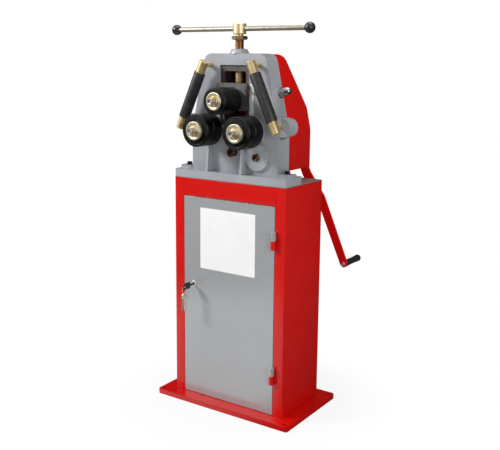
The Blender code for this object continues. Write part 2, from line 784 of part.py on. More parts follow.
def lock_cam():
    """The core that the key turns, with the tongue at its back, standing clear of the stile."""
    front = CABINET_FRONT - LOCK_HEAD_PROUD - SEAT_GAP
    cam_front = CABINET_FRONT + STILE_RETURN + 2 * RUN_GAP
    cam_back = cam_front + CAM_THICK
    place = (LOCK_X, 0, LOCK_Z)
    half = CAM_WIDTH / 2
    tongue = arc(0, 0, half, HALF_TURN, FULL_TURN) + arc(0, CAM_REACH - half, half, 0, HALF_TURN)
    cam = plate("lock_cam", [tongue], cam_front, cam_back, bright_steel(), "Y", place)
    core = hole("lock_core", LOCK_CORE_RADIUS, front, cam_back - OVERLAP, place, "Y", STEPS_SMALL)
    slot_half = Vector((KEY_BLADE_THICK / 2 + RUN_GAP, 0, KEY_BLADE_HEIGHT / 2 + RUN_GAP))
    slot_low = Vector((LOCK_X, front - OVERRUN, LOCK_Z)) - slot_half
    slot_high = Vector((LOCK_X, front + KEY_BLADE_INSIDE + RUN_GAP, LOCK_Z)) + slot_half
    return cut(join(cam, core), box("key_slot", slot_low, slot_high))


def key():
    """Blade and bow in one outline, seen from the side."""
    front = CABINET_FRONT - LOCK_HEAD_PROUD - SEAT_GAP
    tip = front + KEY_BLADE_INSIDE
    bow_back = front - KEY_BLADE_SHOWN
    bow_front = bow_back - KEY_BOW_LENGTH
    half = KEY_BLADE_HEIGHT / 2
    bow_half = KEY_BOW_HEIGHT / 2
    blade = rectangle(bow_back - OVERRUN, tip, -half, half)
    bow = rectangle(bow_front, bow_back, -bow_half, bow_half, bow_half / 2)
    eye = circle(bow_front + KEY_HOLE_INSET, 0, KEY_HOLE_RADIUS, STEPS_SMALL)
    place = (LOCK_X, 0, LOCK_Z)
    made = plate("key", [bow, eye], -KEY_BOW_THICK / 2, KEY_BOW_THICK / 2, black_plastic(), "X", place)
    blank = plate("key_blade", [blade], -KEY_BLADE_THICK / 2, KEY_BLADE_THICK / 2, None, "X", place)
    return join(made, blank)


def key_ring():
    """A wire ring that hangs through the bow's eye."""
    eye_y = CABINET_FRONT - LOCK_HEAD_PROUD - SEAT_GAP - KEY_BLADE_SHOWN - KEY_BOW_LENGTH + KEY_HOLE_INSET
    sag = KEY_BOW_THICK**2 / (8 * KEY_RING_RADIUS)
    hang = KEY_HOLE_RADIUS - KEY_RING_WIRE - 3 * RUN_GAP - sag
    mesh = bpy.data.meshes.new("key_ring")
    ring = bmesh.new()
    section = [
        ring.verts.new((KEY_RING_RADIUS + x, 0, z))
        for x, z in circle(0, 0, KEY_RING_WIRE, HEX_SIDES)
    ]
    for i, vert in enumerate(section):
        ring.edges.new((section[i - 1], vert))
    ring.to_mesh(mesh)
    ring.free()
    obj = new_object("key_ring", mesh, bright_steel())
    screw = obj.modifiers.new("Turn", "SCREW")
    screw.steps = STEPS_LARGE
    screw.render_steps = STEPS_LARGE
    screw.use_merge_vertices = True
    screw.merge_threshold = MERGE
    screw.use_normal_flip = True
    drop = KEY_RING_RADIUS + hang
    obj.matrix_world = Matrix.Translation((LOCK_X, eye_y, LOCK_Z - drop)) @ axis_turn("Y")
    return obj


# Head casting

def casting_outline(inset, bottom, foot=0):
    """The casting seen from the front: upright sides, tapered shoulders and a rounded top."""
    shoulder = FLANGE_TOP + SHOULDER_HEIGHT - FLANGE_THICK
    corners = [
        (CASTING_HALF_WIDTH - inset, bottom),
        (CASTING_HALF_WIDTH - inset, shoulder),
        (CASTING_TOP_HALF_WIDTH - inset, CASTING_TOP - inset),
        (-CASTING_TOP_HALF_WIDTH + inset, CASTING_TOP - inset),
        (-CASTING_HALF_WIDTH + inset, shoulder),
        (-CASTING_HALF_WIDTH + inset, bottom),
    ]
    radii = [0, SHOULDER_ROUND, TOP_ROUND - inset, TOP_ROUND - inset, SHOULDER_ROUND, 0]
    if foot == 0:
        return rounded(corners, radii)
    middle = rounded(corners, radii)[1:-1]
    right = arc(CASTING_HALF_WIDTH + foot, FLANGE_TOP + foot, foot, -90, -HALF_TURN)
    left = arc(-CASTING_HALF_WIDTH - foot, FLANGE_TOP + foot, foot, 0, -90)
    below = FLANGE_TOP - OVERLAP
    return [(right[0][0], below), *right, *middle, *left, (left[-1][0], below)]


def casting_pockets():
    """The hollow behind the front wall, less what stands in it: the rails, bosses and bearings."""
    floor = FLANGE_TOP + POCKET_FLOOR
    front = FACE_Y + CASTING_FRONT_WALL
    rear = REAR_Y + OVERRUN
    half = CASTING_HALF_WIDTH - CASTING_WALL
    shoulder = FLANGE_TOP + SHOULDER_HEIGHT - FLANGE_THICK
    ceiling = CASTING_TOP - POCKET_CEILING
    top_half = CASTING_TOP_HALF_WIDTH - CASTING_WALL
    rise_share = (ceiling - shoulder) / (CASTING_TOP - shoulder)
    ceiling_half = half + (top_half - half) * rise_share
    rail = WINDOW_HALF_WIDTH + RAIL_WIDTH
    low, high = front - OVERLAP, rear + OVERLAP
    pockets = []
    for side, name in ((-1, "left"), (1, "right")):
        corners = [(rail, floor), (half, floor), (half, shoulder), (ceiling_half, ceiling), (rail, ceiling)]
        corners = [(side * x, z) for x, z in corners]
        pocket = plate("pocket_" + name, [rounded(corners, POCKET_ROUND)], front, rear, None, "Y")
        bearing = hole(
            "bearing_" + name, SHAFT_RADIUS + BUSH_WALL + CASTING_WALL, low, high,
            (side * ROLL_X, 0, LOWER_ROLL_Z), "Y",
        )
        seat = hole(
            "stud_seat_" + name, STUD_RADIUS + CASTING_WALL / 2, low, high,
            (side * GUIDE_TOP_PLACE, 0, FLANGE_TOP + GUIDE_TOP_RISE), "Y", STEPS_SMALL,
        )
        cut(pocket, bearing, seat)
        pockets.append(pocket)
    crank = hole(
        "bearing_crank", CRANK_SHAFT_RADIUS + BUSH_WALL + CASTING_WALL, low, high,
        (CRANK_X, 0, CRANK_Z), "Y",
    )
    cut(pockets[1], crank)
    return pockets


def casting_rib(name, x):
    """A gusset from the flange up to the bosses."""
    top = FLANGE_TOP + RIB_RISE
    below = FLANGE_TOP - 2 * OVERLAP
    behind = FACE_Y + 4 * OVERLAP
    corners = [
        (behind, below), (FACE_Y - RIB_FOOT_PROUD, below), (FACE_Y - RIB_FOOT_PROUD, FLANGE_TOP),
        (FACE_Y - RIB_TOP_PROUD, top), (behind, top),
    ]
    return plate(name, [corners], x - RIB_THICK / 2, x + RIB_THICK / 2, None, "X")


def casting_lug(name, side):
    """The ear that holds the guide roller's lower stud."""
    z = FLANGE_TOP + LUG_RISE
    root = CASTING_HALF_WIDTH - LUG_RADIUS
    outline = [(root, z - LUG_RADIUS), *arc(LUG_PLACE, z, LUG_RADIUS, -90, 90, 2 * CORNER_STEPS)]
    outline.append((root, z + LUG_RADIUS))
    outline = [(side * x, height) for x, height in outline]
    return plate(name, [outline], FACE_Y - LUG_PROUD, FACE_Y + LUG_DEPTH, None, "Y")


def head_casting():
    """Flange, upright body with its window and slide way, bosses, ribs and lugs in one casting."""
    body = plate(
        "head_casting", [casting_outline(0, FLANGE_TOP, FOOT_FILLET)], FACE_Y, REAR_Y, grey_paint(), "Y"
    )
    flange_outline = rectangle(
        -CABINET_HALF, CABINET_HALF, CABINET_FRONT, CABINET_FRONT + FLANGE_DEPTH, FLANGE_CORNER
    )
    join(body, plate("flange", [flange_outline], FLANGE_BOTTOM, FLANGE_TOP, None))
    for side, name in ((-1, "left"), (1, "right")):
        x = side * FLANGE_SCREW_X
        pad = rectangle(
            x - PAD_WIDTH / 2, x + PAD_WIDTH / 2,
            FLANGE_SCREW_Y - PAD_DEPTH / 2, FLANGE_SCREW_Y + PAD_DEPTH / 2, PAD_ROUND,
        )
        join(body, plate("pad_" + name, [pad], FLANGE_TOP - 2 * OVERLAP, FLANGE_TOP + PAD_HEIGHT, None))
        join(body, casting_lug("lug_" + name, side))
        join(body, hole(
            "roll_boss_" + name, ROLL_BOSS_RADIUS, FACE_Y - ROLL_BOSS_PROUD, FACE_Y + 2 * OVERLAP,
            (side * ROLL_X, 0, LOWER_ROLL_Z), "Y", STEPS_LARGE,
        ))
    join(body, hole(
        "crank_boss", CRANK_BOSS_RADIUS, FACE_Y - CRANK_BOSS_PROUD, FACE_Y + 3 * OVERLAP,
        (CRANK_X, 0, CRANK_Z), "Y", STEPS_LARGE,
    ))
    join(body, casting_rib("rib_left", -RIB_LEFT_PLACE), casting_rib("rib_right", RIB_RIGHT_PLACE))
    boss_profile = [
        (0, BOSS_TOP), (BOSS_TOP_RADIUS, BOSS_TOP), (BOSS_LOW_RADIUS, CASTING_TOP),
        (BOSS_LOW_RADIUS, CASTING_TOP - OVERLAP), (0, CASTING_TOP - OVERLAP),
    ]
    join(body, turned("top_boss", boss_profile, None, (0, SPINDLE_Y, 0), "Z", STEPS_LARGE))
    return cut_casting(body)


def casting_bores(side, name):
    """The bores of one side: lower roll, guide studs, flange screw and cap nut."""
    before, behind = FACE_Y - ROLL_BOSS_PROUD - OVERRUN, REAR_Y + OVERRUN
    stud_x, stud_z = lower_stud()
    cap_x, normal_x, normal_z = cap_nut_seat()
    return [
        hole(
            "roll_bore_" + name, SHAFT_RADIUS + BUSH_WALL + SEAT_GAP, before, behind,
            (side * ROLL_X, 0, LOWER_ROLL_Z), "Y",
        ),
        hole(
            "stud_bore_top_" + name, STUD_RADIUS + SEAT_GAP, before, behind,
            (side * GUIDE_TOP_PLACE, 0, FLANGE_TOP + GUIDE_TOP_RISE), "Y", STEPS_SMALL,
        ),
        hole(
            "stud_bore_low_" + name, STUD_RADIUS + SEAT_GAP, before, behind,
            (side * stud_x, 0, stud_z), "Y", STEPS_SMALL,
        ),
        hole(
            "flange_bore_" + name, FLANGE_SCREW_RADIUS + SEAT_GAP, FLANGE_BOTTOM - OVERRUN,
            FLANGE_TOP + PAD_HEIGHT + OVERRUN, (side * FLANGE_SCREW_X, FLANGE_SCREW_Y, 0), "Z", STEPS_SMALL,
        ),
        hole(
            "cap_bore_" + name, CAP_STUD_RADIUS + SEAT_GAP, -CAP_STUD_LENGTH - OVERLAP, OVERRUN,
            (side * cap_x, FACE_Y + CAP_NUT_SETBACK, FLANGE_TOP + CAP_NUT_RISE),
            (side * normal_x, 0, normal_z), STEPS_SMALL,
        ),
    ]


def cut_casting(body):
    """The window, the slide way, the hollows and the bores."""
    before, behind = FACE_Y - ROLL_BOSS_PROUD - OVERRUN, REAR_Y + OVERRUN
    window = rectangle(-WINDOW_HALF_WIDTH, WINDOW_HALF_WIDTH, WINDOW_BOTTOM, WINDOW_TOP, WINDOW_ROUND)
    cut(body, plate("window", [window], before, behind, None, "Y"))
    way = rectangle(-WAY_HALF_WIDTH, WAY_HALF_WIDTH, WAY_BOTTOM, WAY_TOP)
    cut(body, plate("slide_way", [way], before, FACE_Y + WAY_DEPTH, None, "Y"))
    cut(body, *casting_pockets())
    nut_bottom = BOSS_TOP - NUT_LENGTH - SEAT_GAP
    spindle_bore = hole(
        "spindle_bore", SPINDLE_RADIUS + BUSH_WALL / 2, WINDOW_TOP - OVERRUN, nut_bottom + OVERRUN,
        (0, SPINDLE_Y, 0), "Z",
    )
    nut_bore = hole("nut_bore", NUT_RADIUS + SEAT_GAP, nut_bottom, BOSS_TOP + OVERRUN, (0, SPINDLE_Y, 0), "Z")
    crank_bore = hole(
        "crank_bore", CRANK_SHAFT_RADIUS + BUSH_WALL + SEAT_GAP, before, behind, (CRANK_X, 0, CRANK_Z), "Y"
    )
    idler_bore = hole("idler_bore", IDLER_AXLE_RADIUS + SEAT_GAP, before, behind, (0, 0, IDLER_Z), "Y")
    bores = join(
        crank_bore, idler_bore, join(nut_bore, spindle_bore),
        *casting_bores(-1, "left"), *casting_bores(1, "right"),
    )
    return cut(body, bores)


def flange_screw(name, side):
    seat = FLANGE_TOP + PAD_HEIGHT + SEAT_GAP
    top = seat + FLANGE_SCREW_HEAD_HEIGHT
    tip = seat - FLANGE_SCREW_LENGTH
    profile = [
        (0, top - SOCKET_DEPTH), (SOCKET_RADIUS, top - SOCKET_DEPTH), (SOCKET_RADIUS, top),
        (FLANGE_SCREW_HEAD_RADIUS - EDGE_ROUND, top), (FLANGE_SCREW_HEAD_RADIUS, top - EDGE_ROUND),
        (FLANGE_SCREW_HEAD_RADIUS, seat), (FLANGE_SCREW_RADIUS, seat), (FLANGE_SCREW_RADIUS, tip), (0, tip),
    ]
    place = (side * FLANGE_SCREW_X, FLANGE_SCREW_Y, 0)
    return turned(name, profile, black_plastic(), place, steps=STEPS_SMALL)


def spindle_nut():
    top = BOSS_TOP + NUT_PROUD
    bottom = BOSS_TOP - NUT_LENGTH
    profile = ring_profile(NUT_RADIUS, SPINDLE_RADIUS + RUN_GAP, bottom, top)
    return turned("spindle_nut", profile, bronze(), (0, SPINDLE_Y, 0))


def shaft_bush(name, inner, proud, place):
    """A bush through the casting, from its boss's face to the rear."""
    profile = ring_profile(inner + BUSH_WALL, inner + RUN_GAP, FACE_Y - proud, REAR_Y)
    return turned(name, profile, bronze(), place, "Y")


def idler_axle():
    """A fixed axle with a plain round head in front and a retaining head behind the gear."""
    head_front = FACE_Y - IDLER_HEAD_PROUD
    seat = FACE_Y - SEAT_GAP
    rear = GEAR_REAR + RUN_GAP
    end = rear + AXLE_HEAD_THICK
    profile = [
        (0, end), (IDLER_HEAD_RADIUS, end), (IDLER_HEAD_RADIUS, rear), (IDLER_AXLE_RADIUS, rear),
        (IDLER_AXLE_RADIUS, seat), (IDLER_HEAD_RADIUS, seat), (IDLER_HEAD_RADIUS, head_front + EDGE_ROUND),
        (IDLER_HEAD_RADIUS - EDGE_ROUND, head_front), (0, head_front),
    ]
    return turned("idler_axle", profile, copper_brown(), (0, 0, IDLER_Z), "Y")


# Gear cover

def round_rear(form, radius):
    """Rounds the edges around the end of a plate that faces the back."""
    mesh = bmesh.new()
    mesh.from_mesh(form.data)
    bmesh.ops.dissolve_limit(
        mesh, angle_limit=FLAT_ANGLE, verts=mesh.verts, edges=mesh.edges
    )
    rear = min(vert.co.z for vert in mesh.verts)
    edges = [edge for edge in mesh.edges if all(vert.co.z - rear < MERGE for vert in edge.verts)]
    bmesh.ops.bevel(
        mesh, geom=edges, offset=radius, offset_type="OFFSET", segments=2, profile=0.5, affect="EDGES"
    )
    mesh.to_mesh(form.data)
    mesh.free()


def cover_solid(name, inset, paint):
    """The cover's outer or inner form: the casting's outline carried back, with its rear sloped."""
    bottom = COVER_BOTTOM - COVER_ROUND - OVERRUN
    front = COVER_FRONT
    if inset:
        bottom -= OVERRUN
        front -= OVERRUN
    outline = casting_outline(COVER_INSET + inset, bottom)
    form = plate(name, [outline], front, COVER_REAR - inset, paint, "Y")
    round_rear(form, COVER_ROUND - inset)
    slope_low = FLANGE_TOP + COVER_SLOPE_RISE
    top_y = REAR_Y + COVER_TOP_REACH
    beyond_y = COVER_REAR + OVERRUN
    beyond_z = CASTING_TOP + OVERRUN
    slope = Vector((top_y - COVER_REAR, CASTING_TOP - slope_low)).normalized()
    low = Vector((COVER_REAR, slope_low)) + Vector((-slope[1], slope[0])) * inset
    start = low + slope * (beyond_y - low[0]) / slope[0]
    end = low + slope * (beyond_z - low[1]) / slope[1]
    wedge = [tuple(start), (beyond_y, beyond_z), tuple(end)]
    half = CASTING_HALF_WIDTH + OVERRUN
    return cut(form, plate(name + "_slope", [wedge], -half, half, None, "X"))


def gear_cover():
    """A sheet shell over the gears, open in front and below."""
    cover = cover_solid("gear_cover", 0, red_paint())
    cut(cover, cover_solid("cover_inside", COVER_WALL, None))
    half = CASTING_HALF_WIDTH + OVERRUN
    below = COVER_BOTTOM - COVER_ROUND - 2 * OVERRUN
    trim = box(
        "cover_trim", (-half, COVER_FRONT - OVERRUN, below), (half, COVER_REAR + OVERRUN, COVER_BOTTOM)
    )
    shaft = hole(
        "cover_shaft_hole", CRANK_SHAFT_RADIUS + COVER_SHAFT_HOLE_GAP, GEAR_REAR,
        COVER_REAR + OVERRUN, (CRANK_X, 0, CRANK_Z), "Y",
    )
    return cut(cover, trim, shaft)


def cap_nut_seat():
    """Where the cap nut's axis meets the casting's side, and the side's normal there."""
    shoulder = FLANGE_TOP + SHOULDER_HEIGHT - FLANGE_THICK
    z = FLANGE_TOP + CAP_NUT_RISE
    run = CASTING_HALF_WIDTH - CASTING_TOP_HALF_WIDTH
    rise = CASTING_TOP - shoulder
    x = CASTING_HALF_WIDTH - run * (z - shoulder) / rise
    length = math.hypot(run, rise)
    return x, rise / length, run / length


def cap_nut(name, side):
    """Washer, hexagon and dome, on a stud in the casting's side."""
    x, normal_x, normal_z = cap_nut_seat()
    place = (side * x, FACE_Y + CAP_NUT_SETBACK, FLANGE_TOP + CAP_NUT_RISE)
    axis = (side * normal_x, 0, normal_z)
    washer_top = SEAT_GAP + CAP_WASHER_THICK
    hex_top = washer_top + CAP_HEX_HEIGHT
    dome_top = hex_top + CAP_DOME_HEIGHT
    dome = [
        (CAP_TIP_RADIUS + (CAP_DOME_RADIUS - CAP_TIP_RADIUS) * math.sin(a),
         hex_top + CAP_DOME_HEIGHT * math.cos(a))
        for a in (math.radians(angle) for angle in (0, 25, 45, 65, 90))
    ]
    profile = [
        (0, dome_top), *dome, (CAP_DOME_RADIUS, washer_top), (CAP_WASHER_RADIUS, washer_top),
        (CAP_WASHER_RADIUS, SEAT_GAP), (CAP_STUD_RADIUS, SEAT_GAP),
        (CAP_STUD_RADIUS, -CAP_STUD_LENGTH), (0, -CAP_STUD_LENGTH),
    ]
    nut = turned(name, profile, chrome(), place, axis, STEPS_SMALL)
    hexagon = plate(
        name + "_hexagon", [regular(HEX_SIDES, CAP_HEX_WIDTH)], washer_top - OVERLAP, hex_top, None
    )
    middle = Matrix.Translation((0, 0, (washer_top - OVERLAP + hex_top) / 2))
    hexagon.matrix_world = Matrix.Translation(place) @ axis_turn(axis) @ middle
    return join(nut, hexagon)


# Gears

def involute(angle):
    return math.tan(angle) - angle


def gear_outline(teeth, phase):
    """True involute teeth, one of them centred on the phase angle."""
    pitch_radius = GEAR_MODULE * teeth / 2
    base_radius = pitch_radius * math.cos(PRESSURE_ANGLE)
    root_radius = pitch_radius - DEDENDUM_SHARE * GEAR_MODULE
    tip_radius = pitch_radius + ADDENDUM_SHARE * GEAR_MODULE
    start = max(base_radius, root_radius)
    thinning = TOOTH_THINNING / (2 * pitch_radius)
    half_tooth = math.pi / (2 * teeth) - thinning + involute(PRESSURE_ANGLE)
    flank = []
    for share in FLANK_SHARES:
        radius = start + (tip_radius - start) * share
        flank.append((radius, half_tooth - involute(math.acos(base_radius / radius))))
    if root_radius < start:
        flank.insert(0, (root_radius, flank[0][1]))
    points = []
    for tooth in range(teeth):
        centre = phase + 2 * math.pi * tooth / teeth
        rising = [(radius, centre - angle) for radius, angle in flank]
        falling = [(radius, centre + angle) for radius, angle in reversed(flank)]
        points += [(r * math.cos(a), r * math.sin(a)) for r, a in rising + falling]
    return points


def meshed_phase(phase, teeth, follower_teeth, direction):
    """The phase that puts a follower's gap on the driver's tooth, in the direction from driver to it."""
    offset = (direction - phase) * teeth / (2 * math.pi) + 1 / 2
    return direction + math.pi + offset * 2 * math.pi / follower_teeth


def gear(name, teeth, phase, bore, place):
    """A toothed blank with its bore."""
    outlines = [gear_outline(teeth, phase), circle(0, 0, bore)]
    return plate(name, outlines, GEAR_FRONT, GEAR_REAR, bright_steel(), "Y", place)


def gear_train():
    """The three loose gears, each phased to the one that drives it."""
    crank = Vector((CRANK_X, CRANK_Z))
    right = Vector((ROLL_X, LOWER_ROLL_Z))
    left = Vector((-ROLL_X, LOWER_ROLL_Z))
    idler = Vector((0, IDLER_Z))

    def bearing(start, end):
        return math.atan2(end[1] - start[1], end[0] - start[0])

    crank_phase = bearing(crank, right)
    right_phase = meshed_phase(crank_phase, PINION_TEETH, ROLL_GEAR_TEETH, crank_phase)
    to_idler = bearing(right, idler)
    idler_phase = meshed_phase(right_phase, ROLL_GEAR_TEETH, IDLER_TEETH, to_idler)
    to_left = bearing(idler, left)
    left_phase = meshed_phase(idler_phase, IDLER_TEETH, ROLL_GEAR_TEETH, to_left)
    bore = SHAFT_RADIUS + SEAT_GAP
    axle = IDLER_AXLE_RADIUS + RUN_GAP
    gears = {
        "right": gear("roll_gear_right", ROLL_GEAR_TEETH, right_phase, bore, (right[0], 0, right[1])),
        "left": gear("roll_gear_left", ROLL_GEAR_TEETH, left_phase, bore, (left[0], 0, left[1])),
        "idler": gear("idler_gear", IDLER_TEETH, idler_phase, axle, (idler[0], 0, idler[1])),
    }
    return gears, crank_phase


# Rolls

def lower_roll(name, place):
    """A roll of two rings, parted by a groove."""
    groove = ROLL_FRONT + ROLL_GROOVE_SETBACK
    half = ROLL_GROOVE_WIDTH / 2
    radius = LOWER_ROLL_RADIUS
    profile = [
        (radius - ROLL_EDGE, ROLL_REAR), (radius, ROLL_REAR - ROLL_EDGE), (radius, groove + half),
        (radius - half, groove), (radius, groove - half), (radius, ROLL_FRONT + ROLL_EDGE),
        (radius - ROLL_EDGE, ROLL_FRONT), (SHAFT_RADIUS + SEAT_GAP, ROLL_FRONT),
        (SHAFT_RADIUS + SEAT_GAP, ROLL_REAR),
    ]
    return turned(name, profile, oiled_steel(), place, "Y", STEPS_LARGE)


def lower_shaft(name, place):
    """Runs from the washer through the roll and the bush to the gear, with a head behind it."""
    front = ROLL_FRONT + RUN_GAP
    gear_seat = GEAR_REAR + SEAT_GAP
    end = gear_seat + SHAFT_END_STANDOUT
    profile = [
        (0, end), (SHAFT_END_RADIUS, end), (SHAFT_END_RADIUS, gear_seat), (SHAFT_RADIUS, gear_seat),
        (SHAFT_RADIUS, front), (0, front),
    ]
    return turned(name, profile, bright_steel(), place, "Y")


def roll_cap(name, place, roll_front, radius, thick):
    """The end washer with its socket-head screw."""
    seat = roll_front - SEAT_GAP
    washer = seat - thick
    front = washer - ROLL_SCREW_HEIGHT
    profile = [
        (0, seat), (radius, seat), (radius, washer + EDGE_ROUND),
        (radius - EDGE_ROUND, washer), (ROLL_SCREW_RADIUS, washer),
        (ROLL_SCREW_RADIUS, front + EDGE_ROUND), (ROLL_SCREW_RADIUS - EDGE_ROUND, front),
        (SOCKET_RADIUS, front), (SOCKET_RADIUS, front + SOCKET_DEPTH), (0, front + SOCKET_DEPTH),
    ]
    return turned(name, profile, yellow_zinc(), place, "Y")


def upper_roll(place):
    profile = ring_profile(
        UPPER_ROLL_RADIUS, UPPER_SHAFT_RADIUS + SEAT_GAP, UPPER_ROLL_FRONT, UPPER_ROLL_REAR, ROLL_EDGE
    )
    return turned("upper_roll", profile, oiled_steel(), place, "Y", STEPS_LARGE)


def upper_shaft(place):
    front = UPPER_ROLL_FRONT + RUN_GAP
    seat = KEEPER_REAR + RUN_GAP
    end = seat + RETAINER_THICK
    profile = [
        (0, end), (RETAINER_RADIUS, end), (RETAINER_RADIUS, seat), (UPPER_SHAFT_RADIUS, seat),
        (UPPER_SHAFT_RADIUS, front), (0, front),
    ]
    return turned("upper_roll_shaft", profile, bright_steel(), place, "Y")


# Slide block and spindle

def slide_block():
    """The plate in the slide way, its tongue through the window and the upper roll's boss."""
    face_back = FACE_Y + WAY_DEPTH - RUN_GAP
    tongue_half = WINDOW_HALF_WIDTH - RUN_GAP
    outline = rectangle(-SLIDE_HALF_WIDTH, SLIDE_HALF_WIDTH, SLIDE_BOTTOM, SLIDE_TOP, SLIDE_ROUND)
    block = plate("slide_block", [outline], SLIDE_FRONT, face_back, slide_steel(), "Y")
    tongue = rectangle(-tongue_half, tongue_half, SLIDE_BOTTOM + OVERLAP, SLIDE_REAR_TOP)
    join(block, plate("tongue", [tongue], face_back - OVERLAP, REAR_Y + RUN_GAP, None, "Y"))
    place = (0, 0, UPPER_ROLL_Z)
    join(block, hole(
        "upper_boss", UPPER_BOSS_RADIUS, FACE_Y - UPPER_BOSS_PROUD, SLIDE_FRONT + OVERLAP, place, "Y",
        STEPS_LARGE,
    ))
    beyond = REAR_Y + OVERRUN
    cut(block, hole(
        "upper_bore", UPPER_SHAFT_RADIUS + RUN_GAP, FACE_Y - UPPER_BOSS_PROUD - OVERRUN, beyond, place, "Y"
    ))
    for name, radius, low, high in (
        ("neck_slot", NECK_RADIUS, COLLAR_TOP, SLIDE_TOP + OVERRUN),
        ("collar_slot", COLLAR_RADIUS, COLLAR_TOP - COLLAR_THICK - RUN_GAP, COLLAR_TOP + RUN_GAP),
    ):
        wide = radius + RUN_GAP
        front = arc(0, SPINDLE_Y, wide, HALF_TURN, FULL_TURN, STEPS_MEDIUM // 2)
        slot = [(wide, beyond), (-wide, beyond), *front]
        cut(block, plate(name, [slot], low, high, None))
    return block


def slide_keeper():
    """The plate behind the casting's rails that closes the spindle's slot."""
    low = SLIDE_BOTTOM + OVERLAP
    outline = rectangle(-SLIDE_HALF_WIDTH, SLIDE_HALF_WIDTH, low, SLIDE_REAR_TOP, SLIDE_ROUND)
    bore = circle(0, UPPER_ROLL_Z, UPPER_SHAFT_RADIUS + RUN_GAP)
    return plate("slide_keeper", [outline, bore], KEEPER_FRONT, KEEPER_REAR, bright_steel(), "Y")


def scale_pointer():
    """A small arrow on the slide's edge that reaches over the scale."""
    low = UPPER_ROLL_Z + POINTER_RISE - POINTER_HEIGHT / 2
    high = low + POINTER_HEIGHT
    middle = (low + high) / 2
    inner = SLIDE_HALF_WIDTH - POINTER_BASE
    body_end = SLIDE_HALF_WIDTH + POINTER_REACH / 3
    tip = SLIDE_HALF_WIDTH + POINTER_REACH
    outline = [(inner, low), (body_end, low), (tip, middle), (body_end, high), (inner, high)]
    back = SLIDE_FRONT - SEAT_GAP
    return plate("scale_pointer", [outline], back - POINTER_THICK, back, copper_brown(), "Y")


def scale_strip():
    low = UPPER_ROLL_Z - SCALE_BOTTOM_DROP
    left = WAY_HALF_WIDTH + SCALE_OFFSET
    outline = rectangle(left, left + SCALE_WIDTH, low, low + SCALE_HEIGHT)
    back = FACE_Y - SEAT_GAP
    return plate("scale_strip", [outline], back - SCALE_THICK, back, chrome(), "Y")


def spindle_screw():
    """Collar and neck in the slide, plain and threaded lengths, and the tenon that enters the head."""
    collar_low = COLLAR_TOP - COLLAR_THICK
    thread_low = SLIDE_TOP + SPINDLE_THREAD_RISE - EDGE_ROUND
    shoulder = LOCK_NUT_BOTTOM + LOCK_NUT_THICK
    profile = [
        (0, HEAD_BOTTOM + TENON_LENGTH), (TENON_RADIUS, HEAD_BOTTOM + TENON_LENGTH),
        (TENON_RADIUS, HEAD_BOTTOM - SEAT_GAP), (HEAD_NECK_RADIUS, HEAD_BOTTOM - SEAT_GAP),
        (HEAD_NECK_RADIUS, shoulder), (SPINDLE_RADIUS, shoulder),
        (SPINDLE_RADIUS, thread_low + SPINDLE_RADIUS - SPINDLE_PLAIN_RADIUS),
        (SPINDLE_PLAIN_RADIUS, thread_low), (SPINDLE_PLAIN_RADIUS, SLIDE_TOP + OVERLAP),
        (NECK_RADIUS, SLIDE_TOP + OVERLAP), (NECK_RADIUS, COLLAR_TOP), (COLLAR_RADIUS, COLLAR_TOP),
        (COLLAR_RADIUS, collar_low), (0, collar_low),
    ]
    return turned("spindle_screw", profile, yellow_zinc(), (0, SPINDLE_Y, 0))


def lock_nut():
    low = LOCK_NUT_BOTTOM
    high = low + LOCK_NUT_THICK
    bore = circle(0, 0, SPINDLE_RADIUS + SEAT_GAP)
    return plate(
        "lock_nut", [regular(HEX_SIDES, LOCK_NUT_WIDTH), bore], low, high, yellow_zinc(), "Z",
        (0, SPINDLE_Y, 0),
    )


def spindle_head():
    place = (0, SPINDLE_Y, 0)
    head = turned(
        "spindle_head", rod_profile(HEAD_RADIUS, HEAD_BOTTOM, HEAD_TOP, HEAD_EDGE), yellow_zinc(), place
    )
    socket_top = HEAD_BOTTOM + TENON_LENGTH + SEAT_GAP
    socket = hole("tenon_socket", TENON_RADIUS + SEAT_GAP, HEAD_BOTTOM - OVERRUN, socket_top, place, "Z")
    reach = HEAD_RADIUS + OVERRUN
    eye = hole("bar_eye", BAR_RADIUS + SEAT_GAP, -reach, reach, (0, SPINDLE_Y, BAR_Z), "X", STEPS_SMALL)
    return cut(head, socket, eye)


def spindle_bar():
    half = BAR_SPAN / 2 - BALL_RADIUS + BALL_SOCKET_DEPTH
    profile = rod_profile(BAR_RADIUS, -half, half)
    return turned("spindle_bar", profile, bright_steel(), (0, SPINDLE_Y, BAR_Z), "X", STEPS_SMALL)


def ball_knob(name, side):
    """A plastic ball with a flat and a socket towards the bar."""
    socket = BAR_RADIUS + SEAT_GAP
    flat = math.degrees(math.asin(socket / BALL_RADIUS))
    ball = [
        (r, -h) for h, r in arc(0, 0, BALL_RADIUS, 0, HALF_TURN - flat, STEPS_SMALL // 2)
    ]
    floor = BALL_RADIUS - BALL_SOCKET_DEPTH - SEAT_GAP
    profile = [(0, -BALL_RADIUS), *ball[1:], (socket, floor), (0, floor)]
    profile = [(r, -h) for r, h in profile]
    place = (side * BAR_SPAN / 2, SPINDLE_Y, BAR_Z)
    return turned(name, profile, black_plastic(), place, (side, 0, 0), STEPS_SMALL)


# Crank

def crank_shaft(phase):
    """The shaft with the pinion cut on it, from the front disc to the crank's hub."""
    place = (CRANK_X, 0, CRANK_Z)
    front = FACE_Y - CRANK_BOSS_PROUD + SEAT_GAP
    end = HUB_FRONT + HUB_LENGTH - EDGE_ROUND
    shaft = turned("crank_shaft", rod_profile(CRANK_SHAFT_RADIUS, front, end), bright_steel(), place, "Y")
    teeth = gear_outline(PINION_TEETH, phase)
    return join(shaft, plate("pinion", [teeth], GEAR_FRONT, GEAR_REAR, None, "Y", place))


